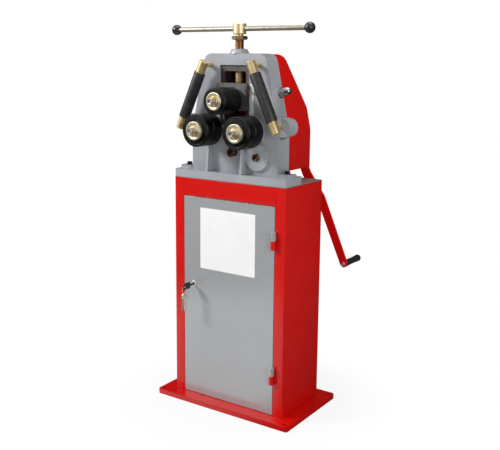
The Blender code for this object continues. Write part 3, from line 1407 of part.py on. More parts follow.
def crank_screw():
    """The screw in the front end of the crank shaft."""
    seat = FACE_Y - CRANK_BOSS_PROUD - SEAT_GAP
    front = seat - CRANK_SCREW_PROUD
    profile = rod_profile(CRANK_SCREW_RADIUS, front, seat, EDGE_ROUND)
    return turned("crank_screw", profile, copper_brown(), (CRANK_X, 0, CRANK_Z), "Y")


def arm_point(reach, y):
    """A point on the arm's middle line, at a distance from the crank shaft's axis."""
    return Vector((CRANK_X + reach * math.sin(ARM_ANGLE), y, CRANK_Z - reach * math.cos(ARM_ANGLE)))


def crank_arm():
    """The hub with the flat arm that is stepped outwards and narrows to the grip."""
    out = ARM_BEND_STEP
    half = ARM_THICK / 2
    root, tip = ARM_ROOT_WIDTH / 2, ARM_TIP_WIDTH / 2
    side_view = [
        (0, 0), (ARM_BEND_START, 0), (ARM_BEND_END, out), (ARM_RADIUS + tip, out),
        (ARM_RADIUS + tip, out + ARM_THICK), (ARM_BEND_END - half, out + ARM_THICK),
        (ARM_BEND_START - half, ARM_THICK), (0, ARM_THICK),
    ]
    turn = Matrix.Rotation(-ARM_ANGLE, 4, "Y")
    place = Matrix.Translation((CRANK_X, ARM_Y, CRANK_Z)) @ turn
    outline = [(y, -reach) for reach, y in side_view]
    arm = plate("crank_arm", [outline], -root, root, red_paint(), "X")
    arm.matrix_world = place @ arm.matrix_world
    front_view = arc(0, 0, root, 0, HALF_TURN) + arc(0, -ARM_RADIUS, tip, HALF_TURN, FULL_TURN)
    low, high = -OVERRUN, out + ARM_THICK + OVERRUN
    trim = plate("arm_trim", [front_view], low, high, None, "Y")
    trim.matrix_world = place @ trim.matrix_world
    boolean(arm, trim, "INTERSECT")
    shaft_place = (CRANK_X, 0, CRANK_Z)
    hub = hole("crank_hub", HUB_OUTER_RADIUS, HUB_FRONT, HUB_FRONT + HUB_LENGTH, shaft_place, "Y")
    join(arm, hub)
    bore = hole(
        "hub_bore", CRANK_SHAFT_RADIUS + SEAT_GAP, HUB_FRONT - OVERRUN,
        HUB_FRONT + HUB_LENGTH + OVERRUN, shaft_place, "Y",
    )
    pivot = arm_point(ARM_RADIUS, 0)
    bolt = hole(
        "bolt_hole", GRIP_BOLT_RADIUS + SEAT_GAP, ARM_Y, ARM_Y + out + ARM_THICK + OVERRUN,
        pivot, "Y", STEPS_SMALL,
    )
    return cut(arm, bore, bolt)


def grip_bolt():
    """The bolt that the grip turns on, its head in front of the arm."""
    pivot = arm_point(ARM_RADIUS, 0)
    seat = ARM_Y + ARM_BEND_STEP - SEAT_GAP
    head = seat - GRIP_BOLT_HEAD_THICK
    end = ARM_Y + ARM_BEND_STEP + ARM_THICK + GRIP_LENGTH - GRIP_END_WALL - RUN_GAP
    profile = [
        (0, end), (GRIP_BOLT_RADIUS, end), (GRIP_BOLT_RADIUS, seat), (GRIP_BOLT_HEAD_RADIUS, seat),
        (GRIP_BOLT_HEAD_RADIUS, head + EDGE_ROUND), (GRIP_BOLT_HEAD_RADIUS - EDGE_ROUND, head), (0, head),
    ]
    return turned("grip_bolt", profile, bright_steel(), pivot, "Y", STEPS_SMALL)


def crank_grip():
    """A sleeve with a slight waist and a domed closed end."""
    pivot = arm_point(ARM_RADIUS, 0)
    start = ARM_Y + ARM_BEND_STEP + ARM_THICK + RUN_GAP
    end = start + GRIP_LENGTH
    bore = GRIP_BOLT_RADIUS + RUN_GAP
    floor = end - GRIP_END_WALL
    dome = [
        (GRIP_RADIUS * math.sin(a), end - GRIP_RADIUS / 2 + GRIP_RADIUS / 2 * math.cos(a))
        for a in (math.radians(angle) for angle in (0, 30, 60, 90))
    ]
    profile = [
        *dome, (GRIP_WAIST_RADIUS, (start + end) / 2), (GRIP_RADIUS, start + 2 * EDGE_ROUND),
        (GRIP_RADIUS - EDGE_ROUND, start), (bore, start), (bore, floor), (0, floor),
    ]
    return turned("crank_grip", profile, black_plastic(), pivot, "Y", STEPS_SMALL)


# Guide rollers

def lower_stud():
    """Where the lower stud enters the lug, seen from the front."""
    return LUG_PLACE - LUG_STUD_INSET, FLANGE_TOP + LUG_RISE + LUG_STUD_INSET


def guide_line(side):
    """The guide roller's upper and lower stud points and the direction between them."""
    stud_x, stud_z = lower_stud()
    top = Vector((side * GUIDE_TOP_PLACE, GUIDE_Y, FLANGE_TOP + GUIDE_TOP_RISE))
    low = Vector((side * stud_x, GUIDE_Y, stud_z))
    return top, low, (top - low).normalized()


def stud(name, point):
    """The stud from a collar's axis into the casting."""
    return hole(name, STUD_RADIUS, GUIDE_Y, FACE_Y + STUD_SEAT, (point.x, 0, point.z), "Y", STEPS_SMALL)


def guide_roller(name, side):
    """Upper collar, lower collar with the rod, and the sleeve that turns on the rod."""
    top, low, direction = guide_line(side)
    span = (top - low).length
    half = GUIDE_COLLAR_LENGTH / 2
    upper_low = span - half - UPPER_COLLAR_DROP
    upper_high = upper_low + GUIDE_COLLAR_LENGTH
    bore = GUIDE_ROD_RADIUS + SEAT_GAP
    upper = turned(
        "guide_collar_upper_" + name,
        ring_profile(GUIDE_COLLAR_RADIUS, bore, upper_low, upper_high, EDGE_ROUND),
        yellow_zinc(), low, direction, STEPS_SMALL,
    )
    join(upper, stud("upper_stud_" + name, top))
    rod_hole = hole(
        "upper_rod_hole_" + name, bore, upper_low - OVERRUN, upper_high + OVERRUN, low, direction,
        STEPS_SMALL,
    )
    cut(upper, rod_hole)
    lower = turned(
        "guide_collar_lower_" + name, rod_profile(GUIDE_COLLAR_RADIUS, -half, half, EDGE_ROUND),
        yellow_zinc(), low, direction, STEPS_SMALL,
    )
    join(lower, hole("rod_" + name, GUIDE_ROD_RADIUS, 0, upper_high, low, direction, STEPS_SMALL))
    join(lower, stud("lower_stud_" + name, low))
    sleeve_profile = ring_profile(
        GUIDE_SLEEVE_RADIUS, GUIDE_ROD_RADIUS + RUN_GAP, half + RUN_GAP, upper_low - RUN_GAP, EDGE_ROUND
    )
    sleeve = turned("guide_sleeve_" + name, sleeve_profile, black_plastic(), low, direction)
    return upper, lower, sleeve


# Assembly

def build_cabinet():
    base_plate()
    cabinet_side("cabinet_side_left", -1)
    cabinet_side("cabinet_side_right", 1)
    cabinet_back()
    cabinet_top()
    cabinet_top_rail()
    low = BASE_THICK + HINGE_LOW_HEIGHT
    high = BASE_THICK + HINGE_HIGH_HEIGHT
    hinge_frame_half("hinge_lower_pin_half", low)
    hinge_frame_half("hinge_upper_pin_half", high)
    door = [
        door_panel(), hinge_door_half("hinge_lower_door_half", low),
        hinge_door_half("hinge_upper_door_half", high), lock_barrel(),
    ]
    hang_on(joint_empty("Door axis", (HINGE_X, HINGE_Y, 0)), door)
    hang_on(joint_empty("Lock axis", (LOCK_X, CABINET_FRONT, LOCK_Z)), [lock_cam(), key()])
    key_ring()


def build_head():
    head_casting()
    flange_screw("flange_screw_left", -1)
    flange_screw("flange_screw_right", 1)
    gear_cover()
    cap_nut("cap_nut_left", -1)
    cap_nut("cap_nut_right", 1)
    spindle_nut()
    shaft_bush("crank_bush", CRANK_SHAFT_RADIUS, CRANK_BOSS_PROUD, (CRANK_X, 0, CRANK_Z))
    idler_axle()
    scale_strip()


def build_rolls():
    gears, crank_phase = gear_train()
    for side, name in ((-1, "left"), (1, "right")):
        place = (side * ROLL_X, 0, LOWER_ROLL_Z)
        shaft_bush("roll_bush_" + name, SHAFT_RADIUS, ROLL_BOSS_PROUD, place)
        turning = [
            lower_roll("lower_roll_" + name, place), lower_shaft("lower_roll_shaft_" + name, place),
            roll_cap(
                "lower_roll_cap_" + name, place, ROLL_FRONT, ROLL_WASHER_RADIUS, ROLL_WASHER_THICK
            ),
            gears[name],
        ]
        hang_on(joint_empty("Lower roll axis " + name, place), turning)
    return crank_phase


def build_slide():
    place = (0, 0, UPPER_ROLL_Z)
    slide = joint_empty("Slide", (0, SPINDLE_Y, UPPER_ROLL_Z))
    hang_on(slide, [slide_block(), slide_keeper(), scale_pointer()])
    roll_axis = joint_empty("Upper roll axis", place)
    cap = roll_cap("upper_roll_cap", place, UPPER_ROLL_FRONT, UPPER_WASHER_RADIUS, UPPER_WASHER_THICK)
    hang_on(roll_axis, [upper_roll(place), upper_shaft(place), cap])
    spindle_axis = joint_empty("Spindle axis", (0, SPINDLE_Y, BAR_Z))
    hang_on(spindle_axis, [
        spindle_screw(), lock_nut(), spindle_head(), spindle_bar(),
        ball_knob("ball_knob_left", -1), ball_knob("ball_knob_right", 1),
    ])
    hang_on(slide, [roll_axis, spindle_axis])


def build_crank(phase):
    axis = joint_empty("Crank axis", (CRANK_X, ARM_Y, CRANK_Z))
    hang_on(axis, [crank_shaft(phase), crank_screw(), crank_arm(), grip_bolt(), crank_grip()])


def build_guides():
    for side, name in ((-1, "left"), (1, "right")):
        upper, lower, sleeve = guide_roller(name, side)
        hang_on(joint_empty("Guide " + name, guide_line(side)[0]), [upper, lower, sleeve])


build_cabinet()
build_head()
build_crank(build_rolls())
build_slide()
build_guides()
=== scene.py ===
"""The look of a hand-cranked ring roller: fine shapes, materials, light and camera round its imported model."""

import json
import math

import bmesh
import bpy
from mathutils import Matrix, Vector

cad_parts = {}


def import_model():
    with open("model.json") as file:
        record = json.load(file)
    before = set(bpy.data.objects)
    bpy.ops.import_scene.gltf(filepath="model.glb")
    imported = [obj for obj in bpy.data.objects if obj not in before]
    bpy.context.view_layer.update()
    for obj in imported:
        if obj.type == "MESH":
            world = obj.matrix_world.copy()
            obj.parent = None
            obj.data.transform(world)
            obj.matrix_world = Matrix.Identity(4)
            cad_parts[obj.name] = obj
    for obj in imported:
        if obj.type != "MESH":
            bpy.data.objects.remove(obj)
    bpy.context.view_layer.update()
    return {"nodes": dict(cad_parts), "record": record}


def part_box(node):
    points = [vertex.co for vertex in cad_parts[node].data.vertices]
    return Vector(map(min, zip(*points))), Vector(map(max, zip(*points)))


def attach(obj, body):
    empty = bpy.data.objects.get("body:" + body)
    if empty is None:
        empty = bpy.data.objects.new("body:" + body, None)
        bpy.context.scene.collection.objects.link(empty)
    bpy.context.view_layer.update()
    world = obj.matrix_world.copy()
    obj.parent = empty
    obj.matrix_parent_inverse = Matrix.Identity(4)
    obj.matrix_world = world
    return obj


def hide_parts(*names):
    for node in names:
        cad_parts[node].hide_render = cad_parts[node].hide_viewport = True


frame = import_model()

MM = 0.001
WELD = 0.01 * MM
ROLL_STEPS = 128                # sides round the largest turned pieces
FINE_STEPS = 96
SMALL_STEPS = 48
EDGE = 0.6 * MM                 # how far a turned piece's corners are rounded
CAST_EDGE = 1.4 * MM
BROAD_EDGE = 0.8 * MM
PLATE_EDGE = 0.7 * MM
SHEET_EDGE = 0.5 * MM
SMALL_EDGE = 0.4 * MM
FINE_EDGE = 0.3 * MM
STEEP_ANGLE = 50                # where only edges sharper than this are rounded
SEAT = 0.3 * MM                 # how far a fine part stays inside the face it stands on

BODY_OF = {
    node: body for body, nodes in frame["record"]["behaviour"]["bodies"].items() for node in nodes
}
SLOT_OF = {part["node"]: part["material_slot"] for part in frame["record"]["subparts"]}


# Materials

class Graph:
    """A node tree, with short calls for its nodes."""

    def __init__(self, tree):
        self.nodes, self.links = tree.nodes, tree.links

    def add(self, kind, inputs=(), **settings):
        node = self.nodes.new("ShaderNode" + kind)
        for name, value in settings.items():
            setattr(node, name, value)
        for socket, value in dict(inputs).items():
            if isinstance(value, bpy.types.NodeSocket):
                self.links.new(value, node.inputs[socket])
            else:
                node.inputs[socket].default_value = value
        return node

    def maths(self, operation, first, second):
        return self.add("Math", {0: first, 1: second}, operation=operation).outputs["Value"]

    def remap(self, value, low, high, to_low=0.0, to_high=1.0, way="LINEAR"):
        inputs = {"Value": value, "From Min": low, "From Max": high, "To Min": to_low, "To Max": to_high}
        return self.add("MapRange", inputs, interpolation_type=way).outputs["Result"]

    def ramp(self, value, low, high, to_low=0.0, to_high=1.0):
        return self.remap(value, low, high, to_low, to_high, "SMOOTHSTEP")


class Look(Graph):
    """A Principled material, with short calls for the nodes that feed it."""

    def __init__(self, name, color, roughness, metallic=0.0, **sockets):
        self.material = bpy.data.materials.new(name)
        self.material.use_nodes = True
        super().__init__(self.material.node_tree)
        self.shader = self.nodes["Principled BSDF"]
        self.shader.inputs["Base Color"].default_value = (*color, 1)
        self.shader.inputs["Roughness"].default_value = roughness
        self.shader.inputs["Metallic"].default_value = metallic
        for socket, value in sockets.items():
            self.shader.inputs[socket.replace("_", " ")].default_value = value

    def drive(self, socket, value):
        self.links.new(value, self.shader.inputs[socket])

    def place(self):
        return self.add("TexCoord").outputs["Object"]

    def axis(self, name):
        return self.add("SeparateXYZ", {"Vector": self.place()}).outputs[name]

    def turning(self):
        """The radius and height on a turned piece, which its mesh carries as an attribute."""
        return self.add("Attribute", attribute_name="turn").outputs["Vector"]

    def noise(self, scale, detail=3.0, stretch=(1, 1, 1), where=None):
        vector = self.add("Mapping", {"Vector": where or self.place(), "Scale": stretch}).outputs["Vector"]
        texture = self.add("TexNoise", {"Vector": vector, "Scale": scale, "Detail": detail})
        return texture.outputs["Fac"]

    def colors(self, factor, first, second):
        def as_color(value):
            return value if isinstance(value, bpy.types.NodeSocket) else (*value, 1)
        inputs = {0: factor, 6: as_color(first), 7: as_color(second)}
        return self.add("Mix", inputs, data_type="RGBA").outputs[2]

    def edges(self, radius, sharp=0.92):
        """1 on convex and concave edges, 0 on flats."""
        soft = self.add("Bevel", {"Radius": radius}, samples=4).outputs["Normal"]
        true = self.add("NewGeometry").outputs["Normal"]
        match = self.add("VectorMath", {0: soft, 1: true}, operation="DOT_PRODUCT").outputs["Value"]
        return self.remap(match, 1.0, sharp)

    def bump(self, height, distance, strength=1.0, base=None):
        inputs = {"Height": height, "Distance": distance, "Strength": strength}
        if base:
            inputs["Normal"] = base
        return self.add("Bump", inputs).outputs["Normal"]


def shaded(color, factor):
    return tuple(channel * factor for channel in color)


def powder_coat(name, color, roughness, **sockets):
    """Sprayed and baked paint: faint clouds, an orange-peel skin and slightly thin edges."""
    look = Look(name, color, roughness, **sockets)
    clouds = look.remap(look.noise(5, 4), 0.35, 0.65)
    body = look.colors(clouds, shaded(color, 0.96), shaded(color, 1.04))
    scuffs = look.maths("MULTIPLY", look.edges(0.7 * MM), look.remap(look.noise(130, 4), 0.5, 0.7))
    look.drive("Base Color", look.colors(scuffs, body, shaded(color, 0.8)))
    look.drive("Roughness", look.remap(look.noise(14, 4), 0.3, 0.7, roughness - 0.03, roughness + 0.04))
    look.drive("Normal", look.bump(look.noise(420, 2), 0.01 * MM, 0.25))
    return look.material


def cast_paint(name, color, roughness):
    """Thick paint over sand-cast iron: pitted skin under a gloss, darker in patches along its edges and in its
    corners.
    """
    look = Look(name, color, roughness, Coat_Weight=0.25, Coat_Roughness=0.18)
    clouds = look.remap(look.noise(9, 5), 0.35, 0.65)
    body = look.colors(clouds, shaded(color, 0.92), shaded(color, 1.06))
    # darker in patches along edges and in corners
    edge_darkening = look.maths("MULTIPLY", look.edges(3 * MM, 0.8), look.remap(look.noise(60, 5), 0.45, 0.7))
    look.drive("Base Color", look.colors(edge_darkening, body, shaded(color, 0.6)))
    look.drive("Roughness", look.remap(look.noise(52, 4), 0.3, 0.7, roughness - 0.05, roughness + 0.12))
    skin = look.bump(look.noise(95, 4), 0.35 * MM, 0.7)
    look.drive("Normal", look.bump(look.noise(650, 2), 0.07 * MM, 0.8, skin))
    return look.material


def turned_metal(name, color, tint, roughness, lines=0.012 * MM, worn=None, **sockets):
    """Metal with tool lines round its axis, a stain of tint and, where it has one, another worn edge."""
    look = Look(name, color, roughness, 1.0, **sockets)
    stain = look.remap(look.noise(55, 5), 0.4, 0.68)
    body = look.colors(stain, color, tint)
    if worn:
        wear = look.maths("MULTIPLY", look.edges(0.7 * MM), look.remap(look.noise(230, 3), 0.35, 0.6))
        body = look.colors(wear, body, worn)
    look.drive("Base Color", body)
    grooves = look.noise(1900, 2, where=look.turning())
    smears = look.remap(look.noise(80, 4), 0.3, 0.7, -0.06, 0.08)
    rough = look.maths("ADD", smears, look.remap(grooves, 0.3, 0.7, roughness - 0.04, roughness + 0.06))
    look.drive("Roughness", rough)
    grain = look.bump(look.noise(900, 2), 0.01 * MM, 0.6)
    look.drive("Normal", look.bump(grooves, lines, 1.0, grain))
    return look.material


def washer_with_painted_shade(name, color, stain, roughness):
    """Zinc painted brown in the dish round the screw, in patches, as painted shade and reflection, with a few
    random brown stain spots, and pale at its rim.
    """
    look = Look(name, color, roughness, 0.8)
    radius = look.add("SeparateXYZ", {"Vector": look.turning()}).outputs["X"]
    # painted shade and reflection: browner towards the middle of the dish
    dish = look.remap(radius, 16 * MM, 22 * MM, 1.0, 0.0)
    patches = look.remap(look.noise(70, 4), 0.42, 0.6, 0.25, 1.0)
    brown = look.maths("MULTIPLY", dish, patches)
    # real stains: a few brown spots at random
    spots = look.remap(look.noise(160, 3), 0.6, 0.75, 0.0, 0.5)
    # the stain colour paints both the shade and reflection in the dish and the stain spots
    look.drive("Base Color", look.colors(look.maths("MAXIMUM", brown, spots), color, stain))
    grooves = look.noise(1900, 2, where=look.turning())
    look.drive("Roughness", look.remap(grooves, 0.3, 0.7, roughness - 0.04, roughness + 0.06))
    look.drive("Normal", look.bump(grooves, 0.006 * MM, 1.0))
    return look.material


def brushed_sheet(name, color, roughness):
    """A bright strip of sheet aluminium with fine lines up and down and a few dull smears."""
    look = Look(name, color, roughness, 0.1)
    smears = look.remap(look.noise(60, 4), 0.45, 0.7)
    look.drive("Base Color", look.colors(smears, color, shaded(color, 0.82)))
    lines = look.noise(900, 2, (1, 1, 0.04))
    look.drive("Roughness", look.remap(lines, 0.3, 0.7, roughness - 0.08, roughness + 0.08))
    look.drive("Normal", look.bump(lines, 0.006 * MM, 0.6))
    return look.material


def ground_metal(name, color, oil, edge_x, roughness):
    """Ground steel with long lines up and down, and oil that gathers at the sliding edges."""
    look = Look(name, color, roughness, 0.75, Coat_Weight=0.3, Coat_Roughness=0.2)
    across = look.maths("ABSOLUTE", look.axis("X"), 0)
    near_edge = look.remap(across, edge_x - 9 * MM, edge_x)
    runs = look.remap(look.noise(70, 5, (1, 1, 0.25)), 0.38, 0.62)
    wet = look.maths("MAXIMUM", look.maths("MULTIPLY", near_edge, runs), look.remap(runs, 0.75, 1.0, 0, 0.55))
    look.drive("Base Color", look.colors(wet, color, oil))
    lines = look.noise(600, 2, (1, 1, 0.05))
    look.drive("Roughness", look.remap(lines, 0.3, 0.7, roughness - 0.08, roughness + 0.1))
    look.drive("Normal", look.bump(lines, 0.02 * MM, 0.8))
    return look.material


def plastic(name, color, roughness):
    """Moulded plastic: a fine grain, finger marks in the gloss."""
    look = Look(name, color, roughness, Specular_IOR_Level=0.55)
    look.drive("Base Color", look.colors(look.remap(look.noise(70, 4), 0.4, 0.7), color, shaded(color, 1.7)))
    look.drive("Roughness", look.remap(look.noise(90, 4), 0.3, 0.7, roughness - 0.05, roughness + 0.14))
    look.drive("Normal", look.bump(look.noise(1400, 2), 0.012 * MM, 0.7))
    return look.material


def vinyl(name, color):
    """A blank printed-film label: satin, slightly uneven where it lies on the paint."""
    look = Look(name, color, 0.3, Coat_Weight=0.2, Coat_Roughness=0.2)
    look.drive("Base Color", look.colors(look.remap(look.noise(12, 4), 0.4, 0.7), color, shaded(color, 0.96)))
    look.drive("Roughness", look.remap(look.noise(30, 3), 0.3, 0.7, 0.24, 0.38))
    look.drive("Normal", look.bump(look.noise(45, 2), 0.02 * MM, 0.15))
    return look.material


RED = (0.60, 0.0035, 0.0015)
GREY = (0.33, 0.345, 0.37)
PALE_GREY = (0.325, 0.336, 0.346)
WAY_HALF_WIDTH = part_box("slide_block")[1].x

LOOKS = {
    "red_paint": powder_coat("red_powder_coat", RED, 0.24),
    "grey_paint": powder_coat(
        "grey_powder_coat", PALE_GREY, 0.28, Specular_IOR_Level=1.0, Coat_Weight=1.0, Coat_Roughness=0.15,
        Coat_IOR=1.6,
    ),
    "panel_primer": powder_coat("panel_primer", (0.20, 0.17, 0.155), 0.38),
    "oiled_steel": turned_metal(
        "oiled_black_steel", (0.022, 0.022, 0.023), (0.034, 0.032, 0.030), 0.42, worn=(0.19, 0.18, 0.175),
        Coat_Weight=0.08, Coat_Roughness=0.38,
    ),
    "bright_steel": turned_metal(
        "bright_steel", (0.60, 0.58, 0.55), (0.42, 0.38, 0.34), 0.36, 0.006 * MM, Metallic=0.8
    ),
    "black_screw": turned_metal("black_oxide", (0.022, 0.022, 0.025), (0.05, 0.045, 0.04), 0.34),
    "yellow_zinc": turned_metal(
        "yellow_zinc", (0.76, 0.59, 0.32), (0.62, 0.45, 0.21), 0.42, 0.002 * MM, Metallic=0.8
    ),
    "copper_brown": turned_metal("brown_wash", (0.26, 0.12, 0.075), (0.10, 0.06, 0.045), 0.30),
    "bronze": turned_metal("bronze", (0.55, 0.33, 0.15), (0.35, 0.20, 0.10), 0.32),
    "chrome": turned_metal("chrome", (0.50, 0.50, 0.51), (0.38, 0.38, 0.39), 0.32, 0.003 * MM),
    "black_plastic": plastic("black_plastic", (0.018, 0.017, 0.017), 0.33),
    "slide_steel": ground_metal(
        "ground_slide", (0.18, 0.172, 0.165), (0.075, 0.042, 0.026), WAY_HALF_WIDTH, 0.40
    ),
}
CAST_GREY = cast_paint("cast_grey_paint", GREY, 0.36)
MACHINED = ground_metal("machined_way", (0.13, 0.112, 0.102), (0.055, 0.035, 0.025), WAY_HALF_WIDTH, 0.44)
GREASED = turned_metal("greased_gear_steel", (0.30, 0.28, 0.25), (0.12, 0.08, 0.05), 0.30)
PALE_ZINC = turned_metal("pale_zinc", (0.37, 0.34, 0.28), (0.30, 0.26, 0.20), 0.46, 0.002 * MM, Metallic=0.8)
# painted light: the T-head's zinc is lighter than the collars' yellow zinc, for the light that falls on the
# head
LIT_HEAD_ZINC = turned_metal("head_zinc_painted_light", (0.92, 0.76, 0.50), (0.82, 0.65, 0.38), 0.44, 0.002 * MM, Metallic=0.8)
# zinc of the roll caps' washers, with brown painted into the dish as shade and reflection
ZINC_WITH_PAINTED_SHADE = washer_with_painted_shade("zinc_painted_shade_and_stains", (0.72, 0.66, 0.46), (0.46, 0.26, 0.09), 0.40)
POINTER_BROWN = turned_metal("pointer_brown", (0.13, 0.05, 0.04), (0.07, 0.035, 0.03), 0.42)
THREAD_BROWN = turned_metal("thread_brown", (0.50, 0.27, 0.12), (0.30, 0.17, 0.09), 0.42)
OLIVE_ZINC = turned_metal("olive_zinc", (0.50, 0.44, 0.28), (0.36, 0.29, 0.16), 0.42)
BARREL_PLATING = turned_metal(
    "nickel_plating", (0.86, 0.85, 0.82), (0.76, 0.74, 0.70), 0.34, 0.004 * MM, Metallic=0.6
)
SCALE_METAL = brushed_sheet("scale_aluminium", (0.84, 0.85, 0.87), 0.42)
SLEEVE_BLACK = plastic("sleeve_black", (0.019, 0.0185, 0.019), 0.40)
WHITE_FILM = vinyl("white_film", (0.86, 0.86, 0.86))


# Shapes

def piece(name, mesh, look, body, slot, *nodes):
    """A visible object that rides on a body and stands for CAD nodes, if any are given."""
    obj = bpy.data.objects.new(name, mesh)
    bpy.context.scene.collection.objects.link(obj)
    mesh.materials.clear()
    mesh.materials.append(look)
    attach(obj, body)
    if nodes:
        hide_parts(*nodes)
    return obj


def shade(mesh, angle=32):
    mesh.shade_smooth()
    mesh.set_sharp_from_angle(angle=math.radians(angle))


def mesh_of(name, work):
    """The mesh that a bmesh has become, which is then freed."""
    mesh = bpy.data.meshes.new(name)
    work.to_mesh(mesh)
    work.free()
    return mesh


def bare_copy(node):
    """A node's mesh without its normals, with its flat faces whole again."""
    source = frame["nodes"][node].data
    work = bmesh.new()
    verts = [work.verts.new(vert.co) for vert in source.vertices]
    for polygon in source.polygons:
        work.faces.new([verts[i] for i in polygon.vertices])
    bmesh.ops.remove_doubles(work, verts=work.verts, dist=WELD)
    bmesh.ops.dissolve_limit(work, angle_limit=math.radians(0.6), verts=work.verts, edges=work.edges)
    bmesh.ops.recalc_face_normals(work, faces=work.faces)
    return mesh_of(node, work)


def eased(node, width=EDGE, look=None, angle=36, segments=2):
    """A copy of a CAD node with its sharp edges rounded, which stands for the node."""
    mesh = bare_copy(node)
    mesh.shade_smooth()
    obj = piece(node + "_eased", mesh, look or LOOKS[SLOT_OF[node]], BODY_OF[node], SLOT_OF[node], node)
    rounding = obj.modifiers.new("Round", "BEVEL")
    rounding.limit_method = "ANGLE"
    rounding.angle_limit = math.radians(angle)
    rounding.width = width
    rounding.segments = segments
    rounding.harden_normals = True
    return obj


def axis_turn(axis):
    """The rotation that takes +Z to an axis."""
    return Vector((0, 0, 1)).rotation_difference(Vector(axis)).to_matrix().to_4x4()


def softened(profile, radius, steps=3):
    """The profile with each corner that lies off the axis rounded."""
    rounded = []
    for i, (r, h) in enumerate(profile):
        corner = Vector((r, h))
        if i in (0, len(profile) - 1):
            rounded.append((r, h))
            continue
        before = Vector(profile[i - 1]) - corner
        after = Vector(profile[i + 1]) - corner
        cut = min(radius, before.length / 2.1, after.length / 2.1)
        start = corner + before.normalized() * cut
        end = corner + after.normalized() * cut
        for step in range(steps + 1):
            t = step / steps
            point = start * (1 - t) ** 2 + corner * (2 * t * (1 - t)) + end * t**2
            rounded.append((point.x, point.y))
    return rounded


def skin(name, rings, place, axis, steps, closed=False):
    """A closed mesh through rings round an axis. A ring's radius and height may be functions of the angle."""
    def value(item, angle):
        return item(angle) if callable(item) else item
    work = bmesh.new()
    loops = []
    for radius, height in rings:
        loop = []
        for step in range(steps):
            angle = 2 * math.pi * step / steps
            r = value(radius, angle)
            loop.append(work.verts.new((r * math.cos(angle), r * math.sin(angle), value(height, angle))))
        loops.append(loop)
    pairs = list(zip(loops, loops[1:]))
    if closed:
        pairs.append((loops[-1], loops[0]))
    for low, high in pairs:
        for i in range(steps):
            work.faces.new((low[i - 1], low[i], high[i], high[i - 1]))
    bmesh.ops.remove_doubles(work, verts=work.verts, dist=WELD)
    bmesh.ops.recalc_face_normals(work, faces=work.faces)
    mesh = mesh_of(name, work)
    turn = mesh.attributes.new("turn", "FLOAT_VECTOR", "POINT")
    for vert, item in zip(mesh.vertices, turn.data):
        item.vector = (math.hypot(vert.co.x, vert.co.y), vert.co.z, 0)
    mesh.transform(Matrix.Translation(place) @ axis_turn(axis))
    shade(mesh)
    return mesh


def turned(name, profile, place, axis="Y", steps=FINE_STEPS, ease=EDGE, closed=False):
    """A profile of radius and height turned round an axis, with its corners eased."""
    axis = {"X": (1, 0, 0), "Y": (0, 1, 0), "Z": (0, 0, 1)}.get(axis, axis)
    return skin(name, softened(profile, ease) if ease else profile, place, axis, steps, closed)


def hexagon(width):
    """The radius of a hexagon of that width across its flats, at an angle."""
    def radius(angle):
        return width / 2 / math.cos((angle + math.pi / 6) % (math.pi / 3) - math.pi / 6)
    return radius


def chamfered(width, face, height, sign):
    """The height of a hexagon's edge where a 30-degree chamfer cuts it."""
    flat = hexagon(width)
    def level(angle):
        return height - sign * max(0, flat(angle) - face) * math.tan(math.radians(30))
    return level


def hex_rings(width, low, high):
    """The side of a hexagon with both ends chamfered, from a round face to a round face."""
    face = width / 2 * 0.985
    return [
        (face, low), (hexagon(width), chamfered(width, face, low, -1)),
        (hexagon(width), chamfered(width, face, high, 1)), (face, high),
    ]


def socket_head(radius, seat, top, socket, depth, sign=1):
    """A screw head with a hexagon socket, from its seat to its top. sign is -1 where the top lies lower."""
    edge = 0.8 * MM * sign
    well = top - depth * sign
    return [
        (0, seat), (radius, seat), (radius, top - edge), (radius - abs(edge), top),
        (socket / 2 * 1.22, top), (hexagon(socket), top - edge / 2), (hexagon(socket), well),
        (socket / 4, well - edge), (0, well - edge),
    ]


def block(name, low, high):
    """A box between two corners."""
    work = bmesh.new()
    bmesh.ops.create_cube(work, size=1)
    size = [b - a for a, b in zip(low, high)]
    centre = [(a + b) / 2 for a, b in zip(low, high)]
    bmesh.ops.scale(work, vec=size, verts=work.verts)
    bmesh.ops.translate(work, vec=centre, verts=work.verts)
    mesh = mesh_of(name, work)
    shade(mesh)
    return mesh


def joined(name, meshes):
    """One mesh of several."""
    work = bmesh.new()
    for item in meshes:
        work.from_mesh(item)
    mesh = mesh_of(name, work)
    shade(mesh)
    return mesh


def middle(node):
    low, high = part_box(node)
    return (low + high) / 2


def arc(first, end, step):
    """The angles from a first one up to an end that is not in it, by degrees, in radians."""
    return [math.radians(degrees) for degrees in range(first, end, step)]


def rod(radius, low, high):
    """The profile of a plain cylinder."""
    return [(0, low), (radius, low), (radius, high), (0, high)]


# Cabinet and door

LABEL = ((-116 * MM, 486 * MM), (111 * MM, 700 * MM))
LABEL_THICK = 0.25 * MM
LABEL_ROUND = 3 * MM
LABEL_GAP = 0.02 * MM
RING_WIRE = 0.8 * MM            # the radius of the key ring's wire
KEY_BESIDE = 1.8 * MM           # from the ring's lowest point to a key
KEY_LEAN = 9                    # degrees between the two keys
KEY_TURN = 75                   # degrees from the door's plane
KEY_THICK = 2.2 * MM
KEY_EASE = 0.3 * MM
KEY_LENGTH = 66 * MM
KEY_RISE = 4.5 * MM             # from the ring's lowest point to the key's top
BOW_RADIUS = 12 * MM
EYE_RADIUS = 4.2 * MM
EYE_DEPTH = 5.2 * MM            # from the key's top to the eye's centre
SHOULDER_DROP = 4 * MM
BLADE_HALF = 4.2 * MM
BLADE_CUTS = (0.9 * MM, 1.7 * MM, 0.5 * MM, 1.3 * MM, 2.0 * MM, 0.7 * MM, 1.5 * MM)


